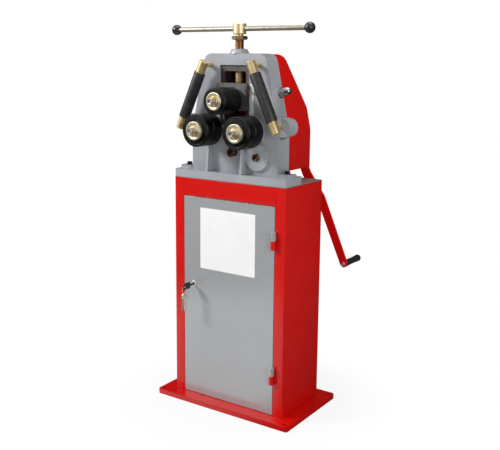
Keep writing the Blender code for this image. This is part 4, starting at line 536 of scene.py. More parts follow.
def rounded_sheet(name, low, high, y, thick, radius, steps=6):
    """A thin sheet with round corners, which lies in front of the plane y."""
    points = []
    corners = ((high[0], high[1], 0), (low[0], high[1], 90), (low[0], low[1], 180), (high[0], low[1], 270))
    for x, z, start in corners:
        centre_x = x - math.copysign(radius, x - (low[0] + high[0]) / 2)
        centre_z = z - math.copysign(radius, z - (low[1] + high[1]) / 2)
        for step in range(steps + 1):
            angle = math.radians(start + 90 * step / steps)
            points.append((centre_x + radius * math.cos(angle), centre_z + radius * math.sin(angle)))
    work = bmesh.new()
    front = [work.verts.new((x, y - thick, z)) for x, z in points]
    back = [work.verts.new((x, y, z)) for x, z in points]
    work.faces.new(front)
    work.faces.new(back[::-1])
    for i in range(len(points)):
        work.faces.new((front[i - 1], back[i - 1], back[i], front[i]))
    bmesh.ops.recalc_face_normals(work, faces=work.faces)
    return mesh_of(name, work)


def dress_cabinet():
    """Base plate, sheet-metal cabinet and door with its hinges and a blank label."""
    eased("base_plate", CAST_EDGE, segments=3)
    for node in (
        "cabinet_side_left", "cabinet_side_right", "cabinet_back", "cabinet_top", "cabinet_top_rail",
        "door_panel",
        "hinge_lower_pin_half", "hinge_upper_pin_half", "hinge_lower_door_half", "hinge_upper_door_half",
    ):
        eased(node, SHEET_EDGE, LOOKS["grey_paint"] if node == "door_panel" else None)
    door_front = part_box("door_panel")[0].y
    sheet = rounded_sheet("label", *LABEL, door_front - LABEL_GAP, LABEL_THICK, LABEL_ROUND)
    piece("label", sheet, WHITE_FILM, "door", "grey_paint")


def dress_lock():
    """Barrel, core and cam, the key in it and two spare keys that hang from the ring."""
    eased("lock_barrel", SHEET_EDGE, BARREL_PLATING)
    eased("lock_cam", SMALL_EDGE)
    eased("key", BROAD_EDGE)
    low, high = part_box("key_ring")
    centre = (low + high) / 2
    ring_radius = (high.x - low.x) / 2 - RING_WIRE
    section = [(ring_radius + RING_WIRE * math.cos(a), RING_WIRE * math.sin(a)) for a in arc(0, 360, 30)]
    ring = turned("ring", section, centre, "Y", FINE_STEPS, 0, True)
    piece("key_ring_wire", ring, LOOKS["bright_steel"], "key_ring", "bright_steel", "key_ring")
    hang = Vector((centre.x, centre.y, low.z + RING_WIRE))
    beside = Vector((KEY_BESIDE, 0, 0))
    spare_key("spare_key", hang + beside, 0, BARREL_PLATING)
    spare_key("spare_key_leaning", hang - beside, KEY_LEAN, LOOKS["bright_steel"])


def spare_key(name, hang, lean, look):
    """Round bow with an eye, shoulder, and a blade with cuts along one side, hung from a point at a lean."""
    top = hang.z + KEY_RISE
    bow_z = top - BOW_RADIUS
    tip = top - KEY_LENGTH
    outline = []
    for step in range(25):
        angle = math.radians(-65 + 310 * step / 24)
        outline.append((BOW_RADIUS * math.cos(angle), bow_z + BOW_RADIUS * math.sin(angle)))
    shoulder = bow_z - BOW_RADIUS - SHOULDER_DROP
    run = (shoulder - tip - BLADE_HALF) / len(BLADE_CUTS)
    outline.append((-BLADE_HALF, shoulder))
    for i, depth in enumerate(BLADE_CUTS):
        outline.append((-BLADE_HALF + depth, shoulder - run * (i + 0.5)))
        outline.append((-BLADE_HALF + depth * 0.35, shoulder - run * (i + 0.9)))
    outline += [(0, tip), (BLADE_HALF, tip + BLADE_HALF), (BLADE_HALF, shoulder)]
    curve = bpy.data.curves.new(name, "CURVE")
    curve.dimensions = "2D"
    curve.fill_mode = "BOTH"
    curve.extrude = KEY_THICK / 2 - KEY_EASE
    curve.bevel_depth = KEY_EASE
    curve.bevel_resolution = 1
    eye_z = top - EYE_DEPTH
    eye = [(EYE_RADIUS * math.cos(a), eye_z + EYE_RADIUS * math.sin(a)) for a in arc(0, 360, 18)]
    for points in (outline, eye):
        spline = curve.splines.new("POLY")
        spline.points.add(len(points) - 1)
        for point, (u, v) in zip(spline.points, points):
            point.co = (u, v, 0, 1)
        spline.use_cyclic_u = True
    drawn = bpy.data.objects.new(name + "_curve", curve)
    mesh = bpy.data.meshes.new_from_object(drawn)
    bpy.data.objects.remove(drawn)
    upright = Matrix.Rotation(math.radians(KEY_TURN), 4, "Z") @ Matrix.Rotation(math.radians(90), 4, "X")
    swing = Matrix.Rotation(math.radians(lean), 4, "Y")
    mesh.transform(Matrix.Translation(hang) @ swing @ Matrix.Translation((0, 0, -hang.z)) @ upright)
    piece(name, mesh, look, "key_ring", "bright_steel")


# Head casting, cover and their fasteners

SCREW_SOCKET = 10 * MM
FLANGE_HEAD_HEIGHT = 10 * MM
FLANGE_SOCKET_DEPTH = 6 * MM
FLANGE_SHANK_RADIUS = 6 * MM
WAY_MARGIN = 2 * MM             # how far beyond the slide's width and the casting's front the bare metal is
WINDOW_DROP = 45 * MM           # from the slide's foot to the window's lower edge
CASTING_HALF_WIDTH = 174.6 * MM
CASTING_TOP_HALF_WIDTH = 120 * MM
CASTING_SHOULDER_Z = 970.3 * MM
TOP_BOSS_HEIGHT = 14.5 * MM
CAP_NUT_Z = 1095.7 * MM
CAP_NUT_WIDTH = 30 * MM
CAP_NUT_HEX_HEIGHT = 15 * MM
CAP_WASHER_RADIUS = 18 * MM
CAP_WASHER_THICK = 2.8 * MM
DOME_RADIUS = 14 * MM
DOME_RISE = 21 * MM
DOME_CROWN = 2 * MM
LUG_SCREW_X = 181 * MM
LUG_SCREW_Y = -67 * MM
LUG_UNDERSIDE_Z = 956.2 * MM
LUG_SCREW_WIDTH = 13 * MM
LUG_HEAD_HEIGHT = 6.4 * MM
LUG_WASHER_RADIUS = 8.5 * MM
LUG_WASHER_THICK = 1.6 * MM
AXLE_FLANGE_THICK = 4 * MM
AXLE_STEM_RADIUS = 12 * MM
FRONT_SOCKET_DEPTH = 5 * MM
NIPPLE_PLACE = (131 * MM, 0, 910 * MM)


def dress_head():
    """The casting with its bare slide way, the cover behind it, and what is screwed into both."""
    casting = eased("head_casting", CAST_EDGE, CAST_GREY, segments=3)
    casting.data.materials.append(MACHINED)
    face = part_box("scale_strip")[1].y
    window_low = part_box("slide_block")[0].z - WINDOW_DROP
    window_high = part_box("spindle_nut")[0].z
    for polygon in casting.data.polygons:
        x, y, z = polygon.center
        inside = abs(x) < WAY_HALF_WIDTH + WAY_MARGIN and window_low < z < window_high
        if inside and face + WAY_MARGIN < y < 0:
            polygon.material_index = 1
    eased("gear_cover", PLATE_EDGE)
    for node in ("spindle_nut", "roll_bush_left", "roll_bush_right"):
        eased(node, SMALL_EDGE)
    eased("crank_bush", SMALL_EDGE, CAST_GREY)
    for side, name in ((-1, "left"), (1, "right")):
        flange_screw(name)
        cap_nut(side, name)
        lug_screw(side, name)
    front_screw("idler_axle", "frame")
    front_screw("crank_screw", "crank")
    grease_nipple()


def flange_screw(name):
    node = "flange_screw_" + name
    low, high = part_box(node)
    centre = (low + high) / 2
    seat = high.z - FLANGE_HEAD_HEIGHT
    rings = socket_head((high.x - low.x) / 2, seat, high.z, SCREW_SOCKET, FLANGE_SOCKET_DEPTH)
    shank = rod(FLANGE_SHANK_RADIUS, low.z, seat - WELD)
    place = (centre.x, centre.y, 0)
    head = skin(node, rings, place, (0, 0, 1), SMALL_STEPS)
    body = turned(node + "_shank", shank, place, "Z", SMALL_STEPS)
    piece(node + "_fine", joined(node, (head, body)), LOOKS["black_screw"], "frame", "black_screw", node)


def cap_nut(side, name):
    """Washer, chamfered hexagon and dome, where the CAD nut stands on the casting's sloping side."""
    node = "cap_nut_" + name
    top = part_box("head_casting")[1].z - TOP_BOSS_HEIGHT
    run, rise = CASTING_HALF_WIDTH - CASTING_TOP_HALF_WIDTH, top - CASTING_SHOULDER_Z
    length = math.hypot(run, rise)
    x = CASTING_HALF_WIDTH - run * (CAP_NUT_Z - CASTING_SHOULDER_Z) / rise
    place = (side * x, middle(node).y, CAP_NUT_Z)
    axis = (side * rise / length, 0, run / length)
    hex_top = CAP_WASHER_THICK + CAP_NUT_HEX_HEIGHT
    dome = [
        (DOME_RADIUS * math.sin(a), hex_top + DOME_RISE * math.cos(a) ** 0.8 + DOME_CROWN * math.cos(a))
        for a in arc(80, -10, -10)
    ]
    side_rings = hex_rings(CAP_NUT_WIDTH, CAP_WASHER_THICK, hex_top)
    nut = [(0, CAP_WASHER_THICK), *side_rings, (DOME_RADIUS, hex_top), *dome]
    ring = rod(CAP_WASHER_RADIUS, SEAT, CAP_WASHER_THICK)
    meshes = (skin(node, nut, place, axis, FINE_STEPS), turned(node + "_washer", ring, place, axis))
    piece(node + "_fine", joined(node, meshes), LOOKS["chrome"], "frame", "chrome", node)


def lug_screw(side, name):
    """The clamp screw's head under a lug."""
    place = (side * LUG_SCREW_X, LUG_SCREW_Y, 0)
    seat = LUG_UNDERSIDE_Z - LUG_WASHER_THICK
    foot = seat - LUG_HEAD_HEIGHT
    washer = rod(LUG_WASHER_RADIUS, LUG_UNDERSIDE_Z, seat)
    head = [(0, seat), *hex_rings(LUG_SCREW_WIDTH, foot, seat)[::-1], (0, foot)]
    meshes = (
        turned("lug_washer", washer, place, "Z", SMALL_STEPS, FINE_EDGE),
        skin("lug_head", head, place, (0, 0, 1), SMALL_STEPS),
    )
    piece("lug_screw_" + name, joined("lug_screw_" + name, meshes), PALE_ZINC, "frame", "yellow_zinc")


def front_screw(node, body):
    """A round head with a hexagon socket, on what the CAD node has behind it."""
    low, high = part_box(node)
    place = (middle(node).x, 0, middle(node).z)
    radius = (high.x - low.x) / 2
    has_stem = node == "idler_axle"
    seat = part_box("scale_strip")[1].y if has_stem else high.y
    rings = socket_head(radius, seat, low.y, radius * 0.95, FRONT_SOCKET_DEPTH, -1)
    meshes = [skin(node, rings, place, (0, 1, 0), SMALL_STEPS)]
    if has_stem:
        flange = high.y - AXLE_FLANGE_THICK
        stem = [
            (0, high.y), (radius, high.y), (radius, flange), (AXLE_STEM_RADIUS, flange),
            (AXLE_STEM_RADIUS, seat), (0, seat),
        ]
        meshes.append(turned(node + "_stem", stem, place, "Y", SMALL_STEPS))
    piece(node + "_fine", joined(node, meshes), LOOKS["copper_brown"], body, "copper_brown", node)


def grease_nipple():
    """A small lubricator in the disc beside the crank shaft's front end."""
    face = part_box("crank_bush")[0].y
    outline = (
        (0, 1), (3.6, 1), (3.6, -1), (2.2, -1.2), (1.6, -2.4), (2.2, -3.6), (1.4, -4.6), (0, -4.6),
    )
    profile = [(radius * MM, face + height * MM) for radius, height in outline]
    nipple = turned("grease_nipple", profile, NIPPLE_PLACE, "Y", SMALL_STEPS, FINE_EDGE)
    piece("grease_nipple", nipple, LOOKS["bright_steel"], "frame", "bright_steel")


# Slide, scale and spindle

TICKS = 91
FIRST_TICK = 7 * MM             # above the strip's lower end
TICK_MARGIN = 0.6 * MM
TICK_RAISED = 0.04 * MM
TICK_SUNK = 0.1 * MM
RIVET_RADIUS = 1.9 * MM
RIVET_HEIGHT = 1.1 * MM
RIVET_FROM_END = 3.2 * MM
RIVET_FROM_SIDE = 5 * MM
THREAD_PITCH = 3.5 * MM
THREAD_DEPTH = 2.1 * MM
THREAD_STEPS = 48
THREAD_FORM = ((0.0, 0.0), (0.08, 0.0), (0.44, 1.0), (0.56, 1.0), (0.92, 0.0))   # shares of pitch and depth
THREAD_ABOVE_SLIDE = 45 * MM
SPINDLE_CORE_RADIUS = 12.8 * MM
SPINDLE_NECK_RADIUS = 9 * MM
SPINDLE_COLLAR_RADIUS = 13 * MM
SPINDLE_COLLAR_HEIGHT = 8 * MM
SPINDLE_TOP_RADIUS = 12 * MM
SPINDLE_TIP_LENGTH = 7 * MM
LOCK_NUT_WIDTH = 46 * MM
BALL_STEPS = 64
KNOB_NECK_RADIUS = 8.4 * MM
KNOB_RECESS = 3 * MM


def dress_slide():
    """The block in the window, its keeper, and the pointer and scale beside it."""
    eased("slide_block", 0.9 * MM)
    eased("slide_keeper", SHEET_EDGE)
    eased("scale_pointer", FINE_EDGE, POINTER_BROWN)
    eased("scale_strip", 0.2 * MM, SCALE_METAL)
    scale_marks()


def scale_marks():
    """Millimetre ticks, longer at five and ten, on the strip's left side, and its two rivets."""
    low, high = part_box("scale_strip")
    marks = []
    left = low.x + TICK_MARGIN
    for i in range(TICKS):
        reach = (7 if i % 10 == 0 else 5 if i % 5 == 0 else 3) * MM
        half = 0.09 * MM if i % 5 else 0.15 * MM
        z = low.z + FIRST_TICK + i * MM
        marks.append(block(
            "tick", (left, low.y - TICK_RAISED, z - half), (left + reach, low.y + TICK_SUNK, z + half)
        ))
    piece("scale_ticks", joined("scale_ticks", marks), LOOKS["black_screw"], "frame", "black_screw")
    dome = [(RIVET_RADIUS * math.cos(a), -RIVET_HEIGHT * math.sin(a)) for a in arc(0, 90, 15)]
    profile = [(0, 0), *dome, (0, -RIVET_HEIGHT)]
    for i, z in enumerate((low.z + RIVET_FROM_END, high.z - RIVET_FROM_END)):
        rivet = turned("rivet", profile, (high.x - RIVET_FROM_SIDE, low.y, z), "Y", 24, 0)
        piece(f"scale_rivet_{i + 1}", rivet, LOOKS["bright_steel"], "frame", "bright_steel")


def threaded(name, radius, low, high, place):
    """A right-hand thread between two heights, closed at its ends."""
    work = bmesh.new()
    turns = math.ceil((high - low) / THREAD_PITCH) + 2
    rows = []
    for step in range(turns * THREAD_STEPS + 1):
        angle = 2 * math.pi * step / THREAD_STEPS
        base = low - THREAD_PITCH + THREAD_PITCH * step / THREAD_STEPS
        row = []
        for along, lift in THREAD_FORM:
            z = min(max(base + along * THREAD_PITCH, low), high)
            r = radius - THREAD_DEPTH * (1 - lift)
            row.append(work.verts.new((r * math.cos(angle), r * math.sin(angle), z)))
        rows.append(row)
    for i, (row, ahead) in enumerate(zip(rows, rows[1:])):
        for j in range(len(row) - 1):
            work.faces.new((row[j], ahead[j], ahead[j + 1], row[j + 1]))
        over = i + THREAD_STEPS
        if over + 1 < len(rows):
            work.faces.new((row[-1], ahead[-1], rows[over + 1][0], rows[over][0]))
    bmesh.ops.remove_doubles(work, verts=work.verts, dist=WELD)
    bmesh.ops.dissolve_degenerate(work, dist=WELD, edges=work.edges)
    open_edges = [edge for edge in work.edges if edge.is_boundary]
    bmesh.ops.holes_fill(work, edges=open_edges, sides=0)
    bmesh.ops.recalc_face_normals(work, faces=work.faces)
    mesh = mesh_of(name, work)
    mesh.transform(Matrix.Translation(place))
    shade(mesh, 40)
    return mesh


def dress_spindle():
    """Stepped core with a thread on it, lock nut, T-head, cross bar and its two knobs."""
    low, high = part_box("spindle_screw")
    nut_low, nut_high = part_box("lock_nut")
    centre = middle("lock_nut")
    place = (centre.x, centre.y, 0)
    radius = (high.x - low.x) / 2
    slide_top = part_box("slide_block")[1].z
    collar_top = low.z + SPINDLE_COLLAR_HEIGHT
    neck_top = slide_top + 1 * MM
    core_top = nut_high.z - SEAT
    tip_foot = high.z - SPINDLE_TIP_LENGTH
    profile = [
        (0, low.z), (SPINDLE_COLLAR_RADIUS, low.z), (SPINDLE_COLLAR_RADIUS, collar_top),
        (SPINDLE_NECK_RADIUS, collar_top), (SPINDLE_NECK_RADIUS, neck_top),
        (SPINDLE_CORE_RADIUS, neck_top), (SPINDLE_CORE_RADIUS, core_top),
        (SPINDLE_TOP_RADIUS, core_top), (SPINDLE_TOP_RADIUS, tip_foot),
        (SPINDLE_NECK_RADIUS, tip_foot), (SPINDLE_NECK_RADIUS, high.z), (0, high.z),
    ]
    core = turned("spindle_core", profile, place, "Z")
    piece("spindle_core", core, LOOKS["yellow_zinc"], "spindle", "yellow_zinc", "spindle_screw")
    thread = threaded("spindle_thread", radius, slide_top + THREAD_ABOVE_SLIDE, core_top, place)
    piece("spindle_thread", thread, THREAD_BROWN, "spindle", "yellow_zinc")
    bore = radius + SEAT
    rings = [(bore, nut_low.z), *hex_rings(LOCK_NUT_WIDTH, nut_low.z, nut_high.z), (bore, nut_high.z)]
    nut = skin("lock_nut", rings, place, (0, 0, 1), FINE_STEPS, True)
    piece("lock_nut_fine", nut, OLIVE_ZINC, "spindle", "yellow_zinc", "lock_nut")
    # the T-head takes the zinc with painted light
    eased("spindle_head", BROAD_EDGE, LIT_HEAD_ZINC)
    low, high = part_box("spindle_bar")
    centre = middle("spindle_bar")
    bar = turned(
        "bar", rod((high.z - low.z) / 2, low.x, high.x), (0, centre.y, centre.z), "X", SMALL_STEPS
    )
    piece("spindle_bar_fine", bar, PALE_ZINC, "spindle", "bright_steel", "spindle_bar")
    for side, name in ((-1, "left"), (1, "right")):
        ball_knob(side, name)


def ball_knob(side, name):
    """A moulded ball with a short flat towards the bar."""
    node = "ball_knob_" + name
    low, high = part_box(node)
    radius = (high.z - low.z) / 2
    outer = max(abs(low.x), abs(high.x))
    flat = (high.x - low.x) - radius
    start = math.acos(-flat / radius)
    profile = [(radius * math.sin(start * i / 32), radius * math.cos(start * i / 32)) for i in range(33)]
    recess = KNOB_RECESS - flat
    profile += [(KNOB_NECK_RADIUS, -flat), (KNOB_NECK_RADIUS, recess), (0, recess)]
    place = (side * (outer - radius), middle(node).y, middle(node).z)
    ball = turned(node, profile, place, (side, 0, 0), BALL_STEPS, 0)
    piece(node + "_fine", ball, LOOKS["black_plastic"], "spindle", "black_plastic", node)


# Rolls and gears

LOWER_BORE = 16.3 * MM
UPPER_BORE = 15.3 * MM
ROLL_CHAMFER = 2.5 * MM
GROOVE_FROM_FRONT = 37 * MM
GROOVE_HALF = 2 * MM
FACE_LINE_INSET = 8 * MM        # from the roll's side to the line turned in its front face
FACE_LINE_DEPTH = 0.4 * MM
TOOTH_EDGE = 0.35 * MM
CAP_WASHER_SEAT = 22 * MM       # from the end screw's front to the washer's front
CAP_SCREW_RADIUS = 11 * MM
CAP_SOCKET_DEPTH = 7 * MM


def dress_rolls():
    """Two grooved lower rolls and the plain upper one, with their caps, shafts and gears."""
    for side in ("left", "right"):
        low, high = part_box("lower_roll_" + side)
        radius = (high.x - low.x) / 2
        inner = radius - ROLL_CHAMFER
        groove = low.y + GROOVE_FROM_FRONT
        line = radius - FACE_LINE_INSET
        profile = [
            (LOWER_BORE, high.y), (inner, high.y), (radius, high.y - ROLL_CHAMFER),
            (radius, groove + GROOVE_HALF), (radius - GROOVE_HALF, groove), (radius, groove - GROOVE_HALF),
            (radius, low.y + ROLL_CHAMFER), (inner, low.y), (line, low.y),
            (line - FACE_LINE_DEPTH, low.y + FACE_LINE_DEPTH), (line - 2 * FACE_LINE_DEPTH, low.y),
            (LOWER_BORE, low.y),
        ]
        roll(f"lower_roll_{side}", profile)
        cap(f"lower_roll_cap_{side}")
        eased(f"lower_roll_shaft_{side}", SHEET_EDGE)
        eased(f"roll_gear_{side}", TOOTH_EDGE, GREASED, STEEP_ANGLE)
    low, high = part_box("upper_roll")
    radius = (high.x - low.x) / 2
    inner = radius - ROLL_CHAMFER
    profile = [
        (UPPER_BORE, high.y), (inner, high.y), (radius, high.y - ROLL_CHAMFER),
        (radius, low.y + ROLL_CHAMFER), (inner, low.y), (UPPER_BORE, low.y),
    ]
    roll("upper_roll", profile)
    cap("upper_roll_cap")
    eased("upper_roll_shaft", SHEET_EDGE)
    eased("idler_gear", TOOTH_EDGE, GREASED, STEEP_ANGLE)


def roll(node, profile):
    place = (middle(node).x, 0, middle(node).z)
    mesh = turned(node, profile, place, "Y", ROLL_STEPS, SHEET_EDGE, True)
    piece(node + "_fine", mesh, LOOKS["oiled_steel"], BODY_OF[node], "oiled_steel", node)


def cap(node):
    """A dished end washer in yellow zinc under a bright socket-head screw."""
    low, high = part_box(node)
    place = (middle(node).x, 0, middle(node).z)
    radius = (high.x - low.x) / 2
    washer = low.y + CAP_WASHER_SEAT
    dip = washer + 1.2 * MM
    hub = washer - 1.5 * MM
    dish = [
        (0, high.y), (radius, high.y), (radius, washer + 1.6 * MM), (radius - 1.6 * MM, washer),
        (radius - 5 * MM, washer), (radius - 8 * MM, dip), (15 * MM, dip), (13 * MM, hub), (0, hub),
    ]
    plate = turned(node, dish, place, "Y", FINE_STEPS, PLATE_EDGE)
    body = BODY_OF[node]
    # the washer's zinc carries painted shade and reflection in its dish
    piece(node + "_washer", plate, ZINC_WITH_PAINTED_SHADE, body, "yellow_zinc", node)
    rings = socket_head(CAP_SCREW_RADIUS, hub, low.y, SCREW_SOCKET, CAP_SOCKET_DEPTH, -1)
    screw = skin(node + "_screw", rings, place, (0, 1, 0), FINE_STEPS)
    piece(node + "_screw", screw, LOOKS["bright_steel"], body, "bright_steel")


# Crank

BOLT_RADIUS = 4 * MM
BOLT_HEAD_RADIUS = 6.5 * MM
BOLT_HEAD_HEIGHT = 4 * MM
BOLT_SOCKET = 5 * MM
BOLT_SOCKET_DEPTH = 2.4 * MM
GRIP_STEPS = 64
GRIP_BORE = 4.3 * MM
GRIP_WAIST = 1.5 * MM
GRIP_ROWS = 14


def dress_crank():
    """Shaft, bent arm, and the bolt on which the grip turns."""
    eased("crank_shaft", SMALL_EDGE, None, STEEP_ANGLE)
    eased("crank_arm", 1.0 * MM, LOOKS["red_paint"], 30, 3)
    place = (middle("grip_bolt").x, 0, middle("grip_bolt").z)
    low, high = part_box("grip_bolt")
    seat = low.y + BOLT_HEAD_HEIGHT
    head = socket_head(BOLT_HEAD_RADIUS, seat, low.y, BOLT_SOCKET, BOLT_SOCKET_DEPTH, -1)
    bolt = joined("grip_bolt", (
        skin("bolt_head", head, place, (0, 1, 0), SMALL_STEPS),
        turned("bolt_shank", rod(BOLT_RADIUS, seat, high.y), place, "Y", SMALL_STEPS),
    ))
    piece("grip_bolt_fine", bolt, LOOKS["bright_steel"], "crank", "bright_steel", "grip_bolt")
    grip(place)


def grip(place):
    """A moulded sleeve with a waist, a collar ridge at its foot and a domed end."""
    low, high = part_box("crank_grip")
    radius = (high.x - low.x) / 2
    start, end = low.y, high.y
    length = end - start
    body = []
    for i in range(1, GRIP_ROWS + 1):
        t = i / GRIP_ROWS
        waist = radius - GRIP_WAIST * math.sin(math.pi * (0.12 + 0.80 * t)) ** 2
        body.append((waist, start + 6 * MM + (length - 12 * MM) * t))
    dome = [
        (radius * math.sin(a), end - radius / 2 + radius / 2 * math.cos(a)) for a in arc(80, -10, -10)
    ]
    bore_end = end - 8 * MM
    profile = [
        (GRIP_BORE, start), (radius - 0.6 * MM, start), (radius, start + 0.8 * MM),
        (radius, start + 3.6 * MM), (radius - 1.2 * MM, start + 4.4 * MM),
        *body, *dome, (0, bore_end), (GRIP_BORE, bore_end),
    ]
    mesh = turned("grip", profile, place, "Y", GRIP_STEPS, 0, True)
    piece("crank_grip_fine", mesh, LOOKS["black_plastic"], "crank_grip", "black_plastic", "crank_grip")


# Guide rollers

SLEEVE_BORE = 8.3 * MM


def dress_guides():
    """A collar at each end and a sleeve that turns about its slanting rod."""
    for name in ("left", "right"):
        for level in ("upper", "lower"):
            eased(f"guide_collar_{level}_{name}", PLATE_EDGE)
        node = "guide_sleeve_" + name
        joint = next(j for j in frame["record"]["behaviour"]["joints"] if j["child"] == node)
        axis = Vector(joint["axis"]).normalized()
        start = Vector(joint["pos_m"])
        spokes = [vert.co - start for vert in frame["nodes"][node].data.vertices]
        reach = [spoke.dot(axis) for spoke in spokes]
        low, high = min(reach), max(reach)
        radius = max(spoke.cross(axis).length for spoke in spokes)
        profile = [(SLEEVE_BORE, low), (radius, low), (radius, high), (SLEEVE_BORE, high)]
        sleeve = turned(node, profile, start, tuple(axis), FINE_STEPS, BROAD_EDGE, True)
        piece(node + "_fine", sleeve, SLEEVE_BLACK, node, "oiled_steel", node)


# Light, floor and camera

class Stage(Graph):
    """A cleared node tree for the world or the floor."""

    def __init__(self, tree):
        super().__init__(tree)
        self.nodes.clear()

    def toward(self, vector, way, inner, outer, strength):
        """A soft round light: full within the inner angle of a direction, gone at the outer one."""
        inputs = {0: vector, 1: Vector(way).normalized()}
        match = self.add("VectorMath", inputs, operation="DOT_PRODUCT").outputs["Value"]
        return self.ramp(match, math.cos(math.radians(outer)), math.cos(math.radians(inner)), 0, strength)

    def blend(self, factor, first, second):
        return self.add("MixShader", {0: factor, 1: first, 2: second}).outputs[0]


FILL = 0.27                     # the even light from all round
ROOM = 0.02                     # what reflections see between the soft lights
SOFT_LIGHTS = (                 # direction, full and outer angle in degrees, strength
    ((-0.25, -0.35, 1), 30, 58, 0.85),
    ((-1, -0.45, 0.35), 14, 38, 0.6),
    ((0.9, -0.6, 0.5), 8, 24, 0.25),
)
FLOOR_REACH = 30.0
FLOOR_WHITE = (0.86, 0.86, 0.86, 1)
SHADOW_RAMP = (0.30, 0.55, 0.85, 1.0)       # near and far distance, and the value at each; so the others too
POOL_OFFSET = (0.25, 0.25, 0)
POOL_RAMP = (1.0, 1.2, 0.95, 0.0)
POOL_SIDE_RAMP = (0.0, 0.25, 1.0, 0.0)
POOL_BASE = 0.015
BOUNCE_RAMP = (0.3, 0.8, 0.35, 0.78)
LAMPS = (                       # name, place, aim, size, power
    ("key", (-2.5, -2.3, 2.7), (0, 0, 0.7), 1.1, 128),
    ("fill", (2.6, -1.6, 1.4), (0, 0, 0.6), 1.8, 35),
    ("top", (0.2, 0.2, 3.2), (0, 0, 0.8), 1.6, 34),
)
CAMERA_PLACE = (1.4955, -2.2018, 1.1931)
CAMERA_YAW, CAMERA_PITCH, CAMERA_ROLL = 34.00, 10.05, 0.54
CAMERA_LENS = 55.97
CAMERA_SHIFT = -0.05


def world():
    """White to the camera, an even fill to diffuse rays, and to reflections a dark room with soft lights."""
    surround = bpy.data.worlds.new("studio")
    bpy.context.scene.world = surround
    surround.use_nodes = True
    graph = Stage(surround.node_tree)
    where = graph.add("TexCoord").outputs["Generated"]
    level = ROOM
    for way, inner, outer, strength in SOFT_LIGHTS:
        level = graph.maths("ADD", level, graph.toward(where, way, inner, outer, strength))
    rays = graph.add("LightPath").outputs
    fill = graph.add("Background", {"Strength": FILL}).outputs[0]
    white = graph.add("Background", {"Strength": 1.0}).outputs[0]
    for shader in (fill, white):
        shader.node.inputs["Color"].default_value = (1, 1, 1, 1)
    room = graph.add("Background", {"Color": level}).outputs[0]
    seen = graph.maths("MAXIMUM", rays["Is Camera Ray"], rays["Is Transmission Ray"])
    lit = graph.blend(rays["Is Glossy Ray"], fill, room)
    graph.add("OutputWorld", {"Surface": graph.blend(seen, lit, white)})


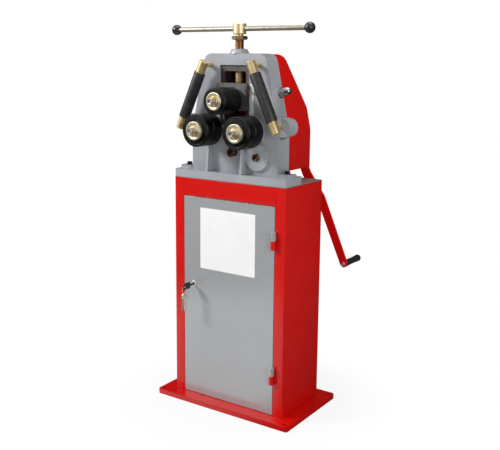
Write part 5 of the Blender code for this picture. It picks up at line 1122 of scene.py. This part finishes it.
def floor():
    """White to the camera but for a faint contact shadow and the matt part under the base plate.

    Reflections see it lit in front on the left only. Other rays meet a glow that is weaker near the object.
    """
    mesh = bpy.data.meshes.new("floor")
    corners = [(x * FLOOR_REACH, y * FLOOR_REACH, 0) for x, y in ((-1, -1), (1, -1), (1, 1), (-1, 1))]
    mesh.from_pydata(corners, [], [(0, 1, 2, 3)])
    obj = bpy.data.objects.new("floor", mesh)
    bpy.context.scene.collection.objects.link(obj)
    material = bpy.data.materials.new("studio_floor")
    material.use_nodes = True
    material.cycles.emission_sampling = "NONE"
    graph = Stage(material.node_tree)
    where = graph.add("TexCoord").outputs["Object"]
    rays = graph.add("LightPath").outputs
    matt = graph.add("BsdfDiffuse", {"Color": FLOOR_WHITE}).outputs[0]
    glow = graph.add("Emission", {"Strength": 1.0}).outputs[0]
    length = graph.add("VectorMath", {0: where}, operation="LENGTH").outputs["Value"]
    white = graph.ramp(length, *SHADOW_RAMP)
    sides = graph.add("SeparateXYZ", {0: where}).outputs
    low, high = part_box("base_plate")
    width = graph.maths("ABSOLUTE", sides["X"], 0)
    depth = graph.maths("ABSOLUTE", graph.maths("SUBTRACT", sides["Y"], (low.y + high.y) / 2), 0)
    beside = graph.maths("GREATER_THAN", width, high.x)
    beyond = graph.maths("GREATER_THAN", depth, (high.y - low.y) / 2)
    open_floor = graph.maths("MAXIMUM", beside, beyond)
    seen = graph.blend(graph.maths("MULTIPLY", white, open_floor), matt, glow)
    offset = graph.add("VectorMath", {0: where, 1: POOL_OFFSET}, operation="ADD").outputs["Vector"]
    spot = graph.add("VectorMath", {0: offset}, operation="LENGTH").outputs["Value"]
    left = graph.ramp(sides["X"], *POOL_SIDE_RAMP)
    pool = graph.maths("MULTIPLY", left, graph.ramp(spot, *POOL_RAMP))
    pool = graph.maths("ADD", pool, POOL_BASE)
    bounced = graph.ramp(length, *BOUNCE_RAMP)
    glossy = rays["Is Glossy Ray"]
    level = graph.maths("ADD", graph.maths("MULTIPLY", glossy, pool), graph.maths(
        "MULTIPLY", graph.maths("SUBTRACT", 1.0, glossy), bounced
    ))
    other = graph.add("Emission", {"Strength": level}).outputs[0]
    graph.add("OutputMaterial", {"Surface": graph.blend(rays["Is Camera Ray"], other, seen)})
    mesh.materials.append(material)


def lamp(name, place, aim, size, power):
    data = bpy.data.lights.new(name, "AREA")
    data.shape = "DISK"
    data.size = size
    data.energy = power
    obj = bpy.data.objects.new(name, data)
    bpy.context.scene.collection.objects.link(obj)
    obj.location = place
    obj.rotation_euler = (Vector(aim) - Vector(place)).to_track_quat("-Z", "Y").to_euler()


def camera():
    """Where the photograph was taken from, fitted to the object's straight edges."""
    data = bpy.data.cameras.new("camera")
    data.sensor_width = 36
    data.lens = CAMERA_LENS
    data.shift_y = CAMERA_SHIFT
    obj = bpy.data.objects.new("camera", data)
    bpy.context.scene.collection.objects.link(obj)
    yaw, pitch, roll_angle = (math.radians(angle) for angle in (CAMERA_YAW, CAMERA_PITCH, CAMERA_ROLL))
    right = Vector((math.cos(yaw), math.sin(yaw), 0))
    forward = Vector((-math.sin(yaw) * math.cos(pitch), math.cos(yaw) * math.cos(pitch), -math.sin(pitch)))
    up = right.cross(forward)
    side = right * math.cos(roll_angle) + up * math.sin(roll_angle)
    top = up * math.cos(roll_angle) - right * math.sin(roll_angle)
    turn = Matrix((side, top, -forward)).transposed().to_4x4()
    obj.matrix_world = Matrix.Translation(CAMERA_PLACE) @ turn
    bpy.context.scene.camera = obj


dress_cabinet()
dress_lock()
dress_head()
dress_slide()
dress_spindle()
dress_rolls()
dress_crank()
dress_guides()
world()
floor()
for setting in LAMPS:
    lamp(*setting)
camera()
bpy.context.scene.view_settings.view_transform = "Standard"
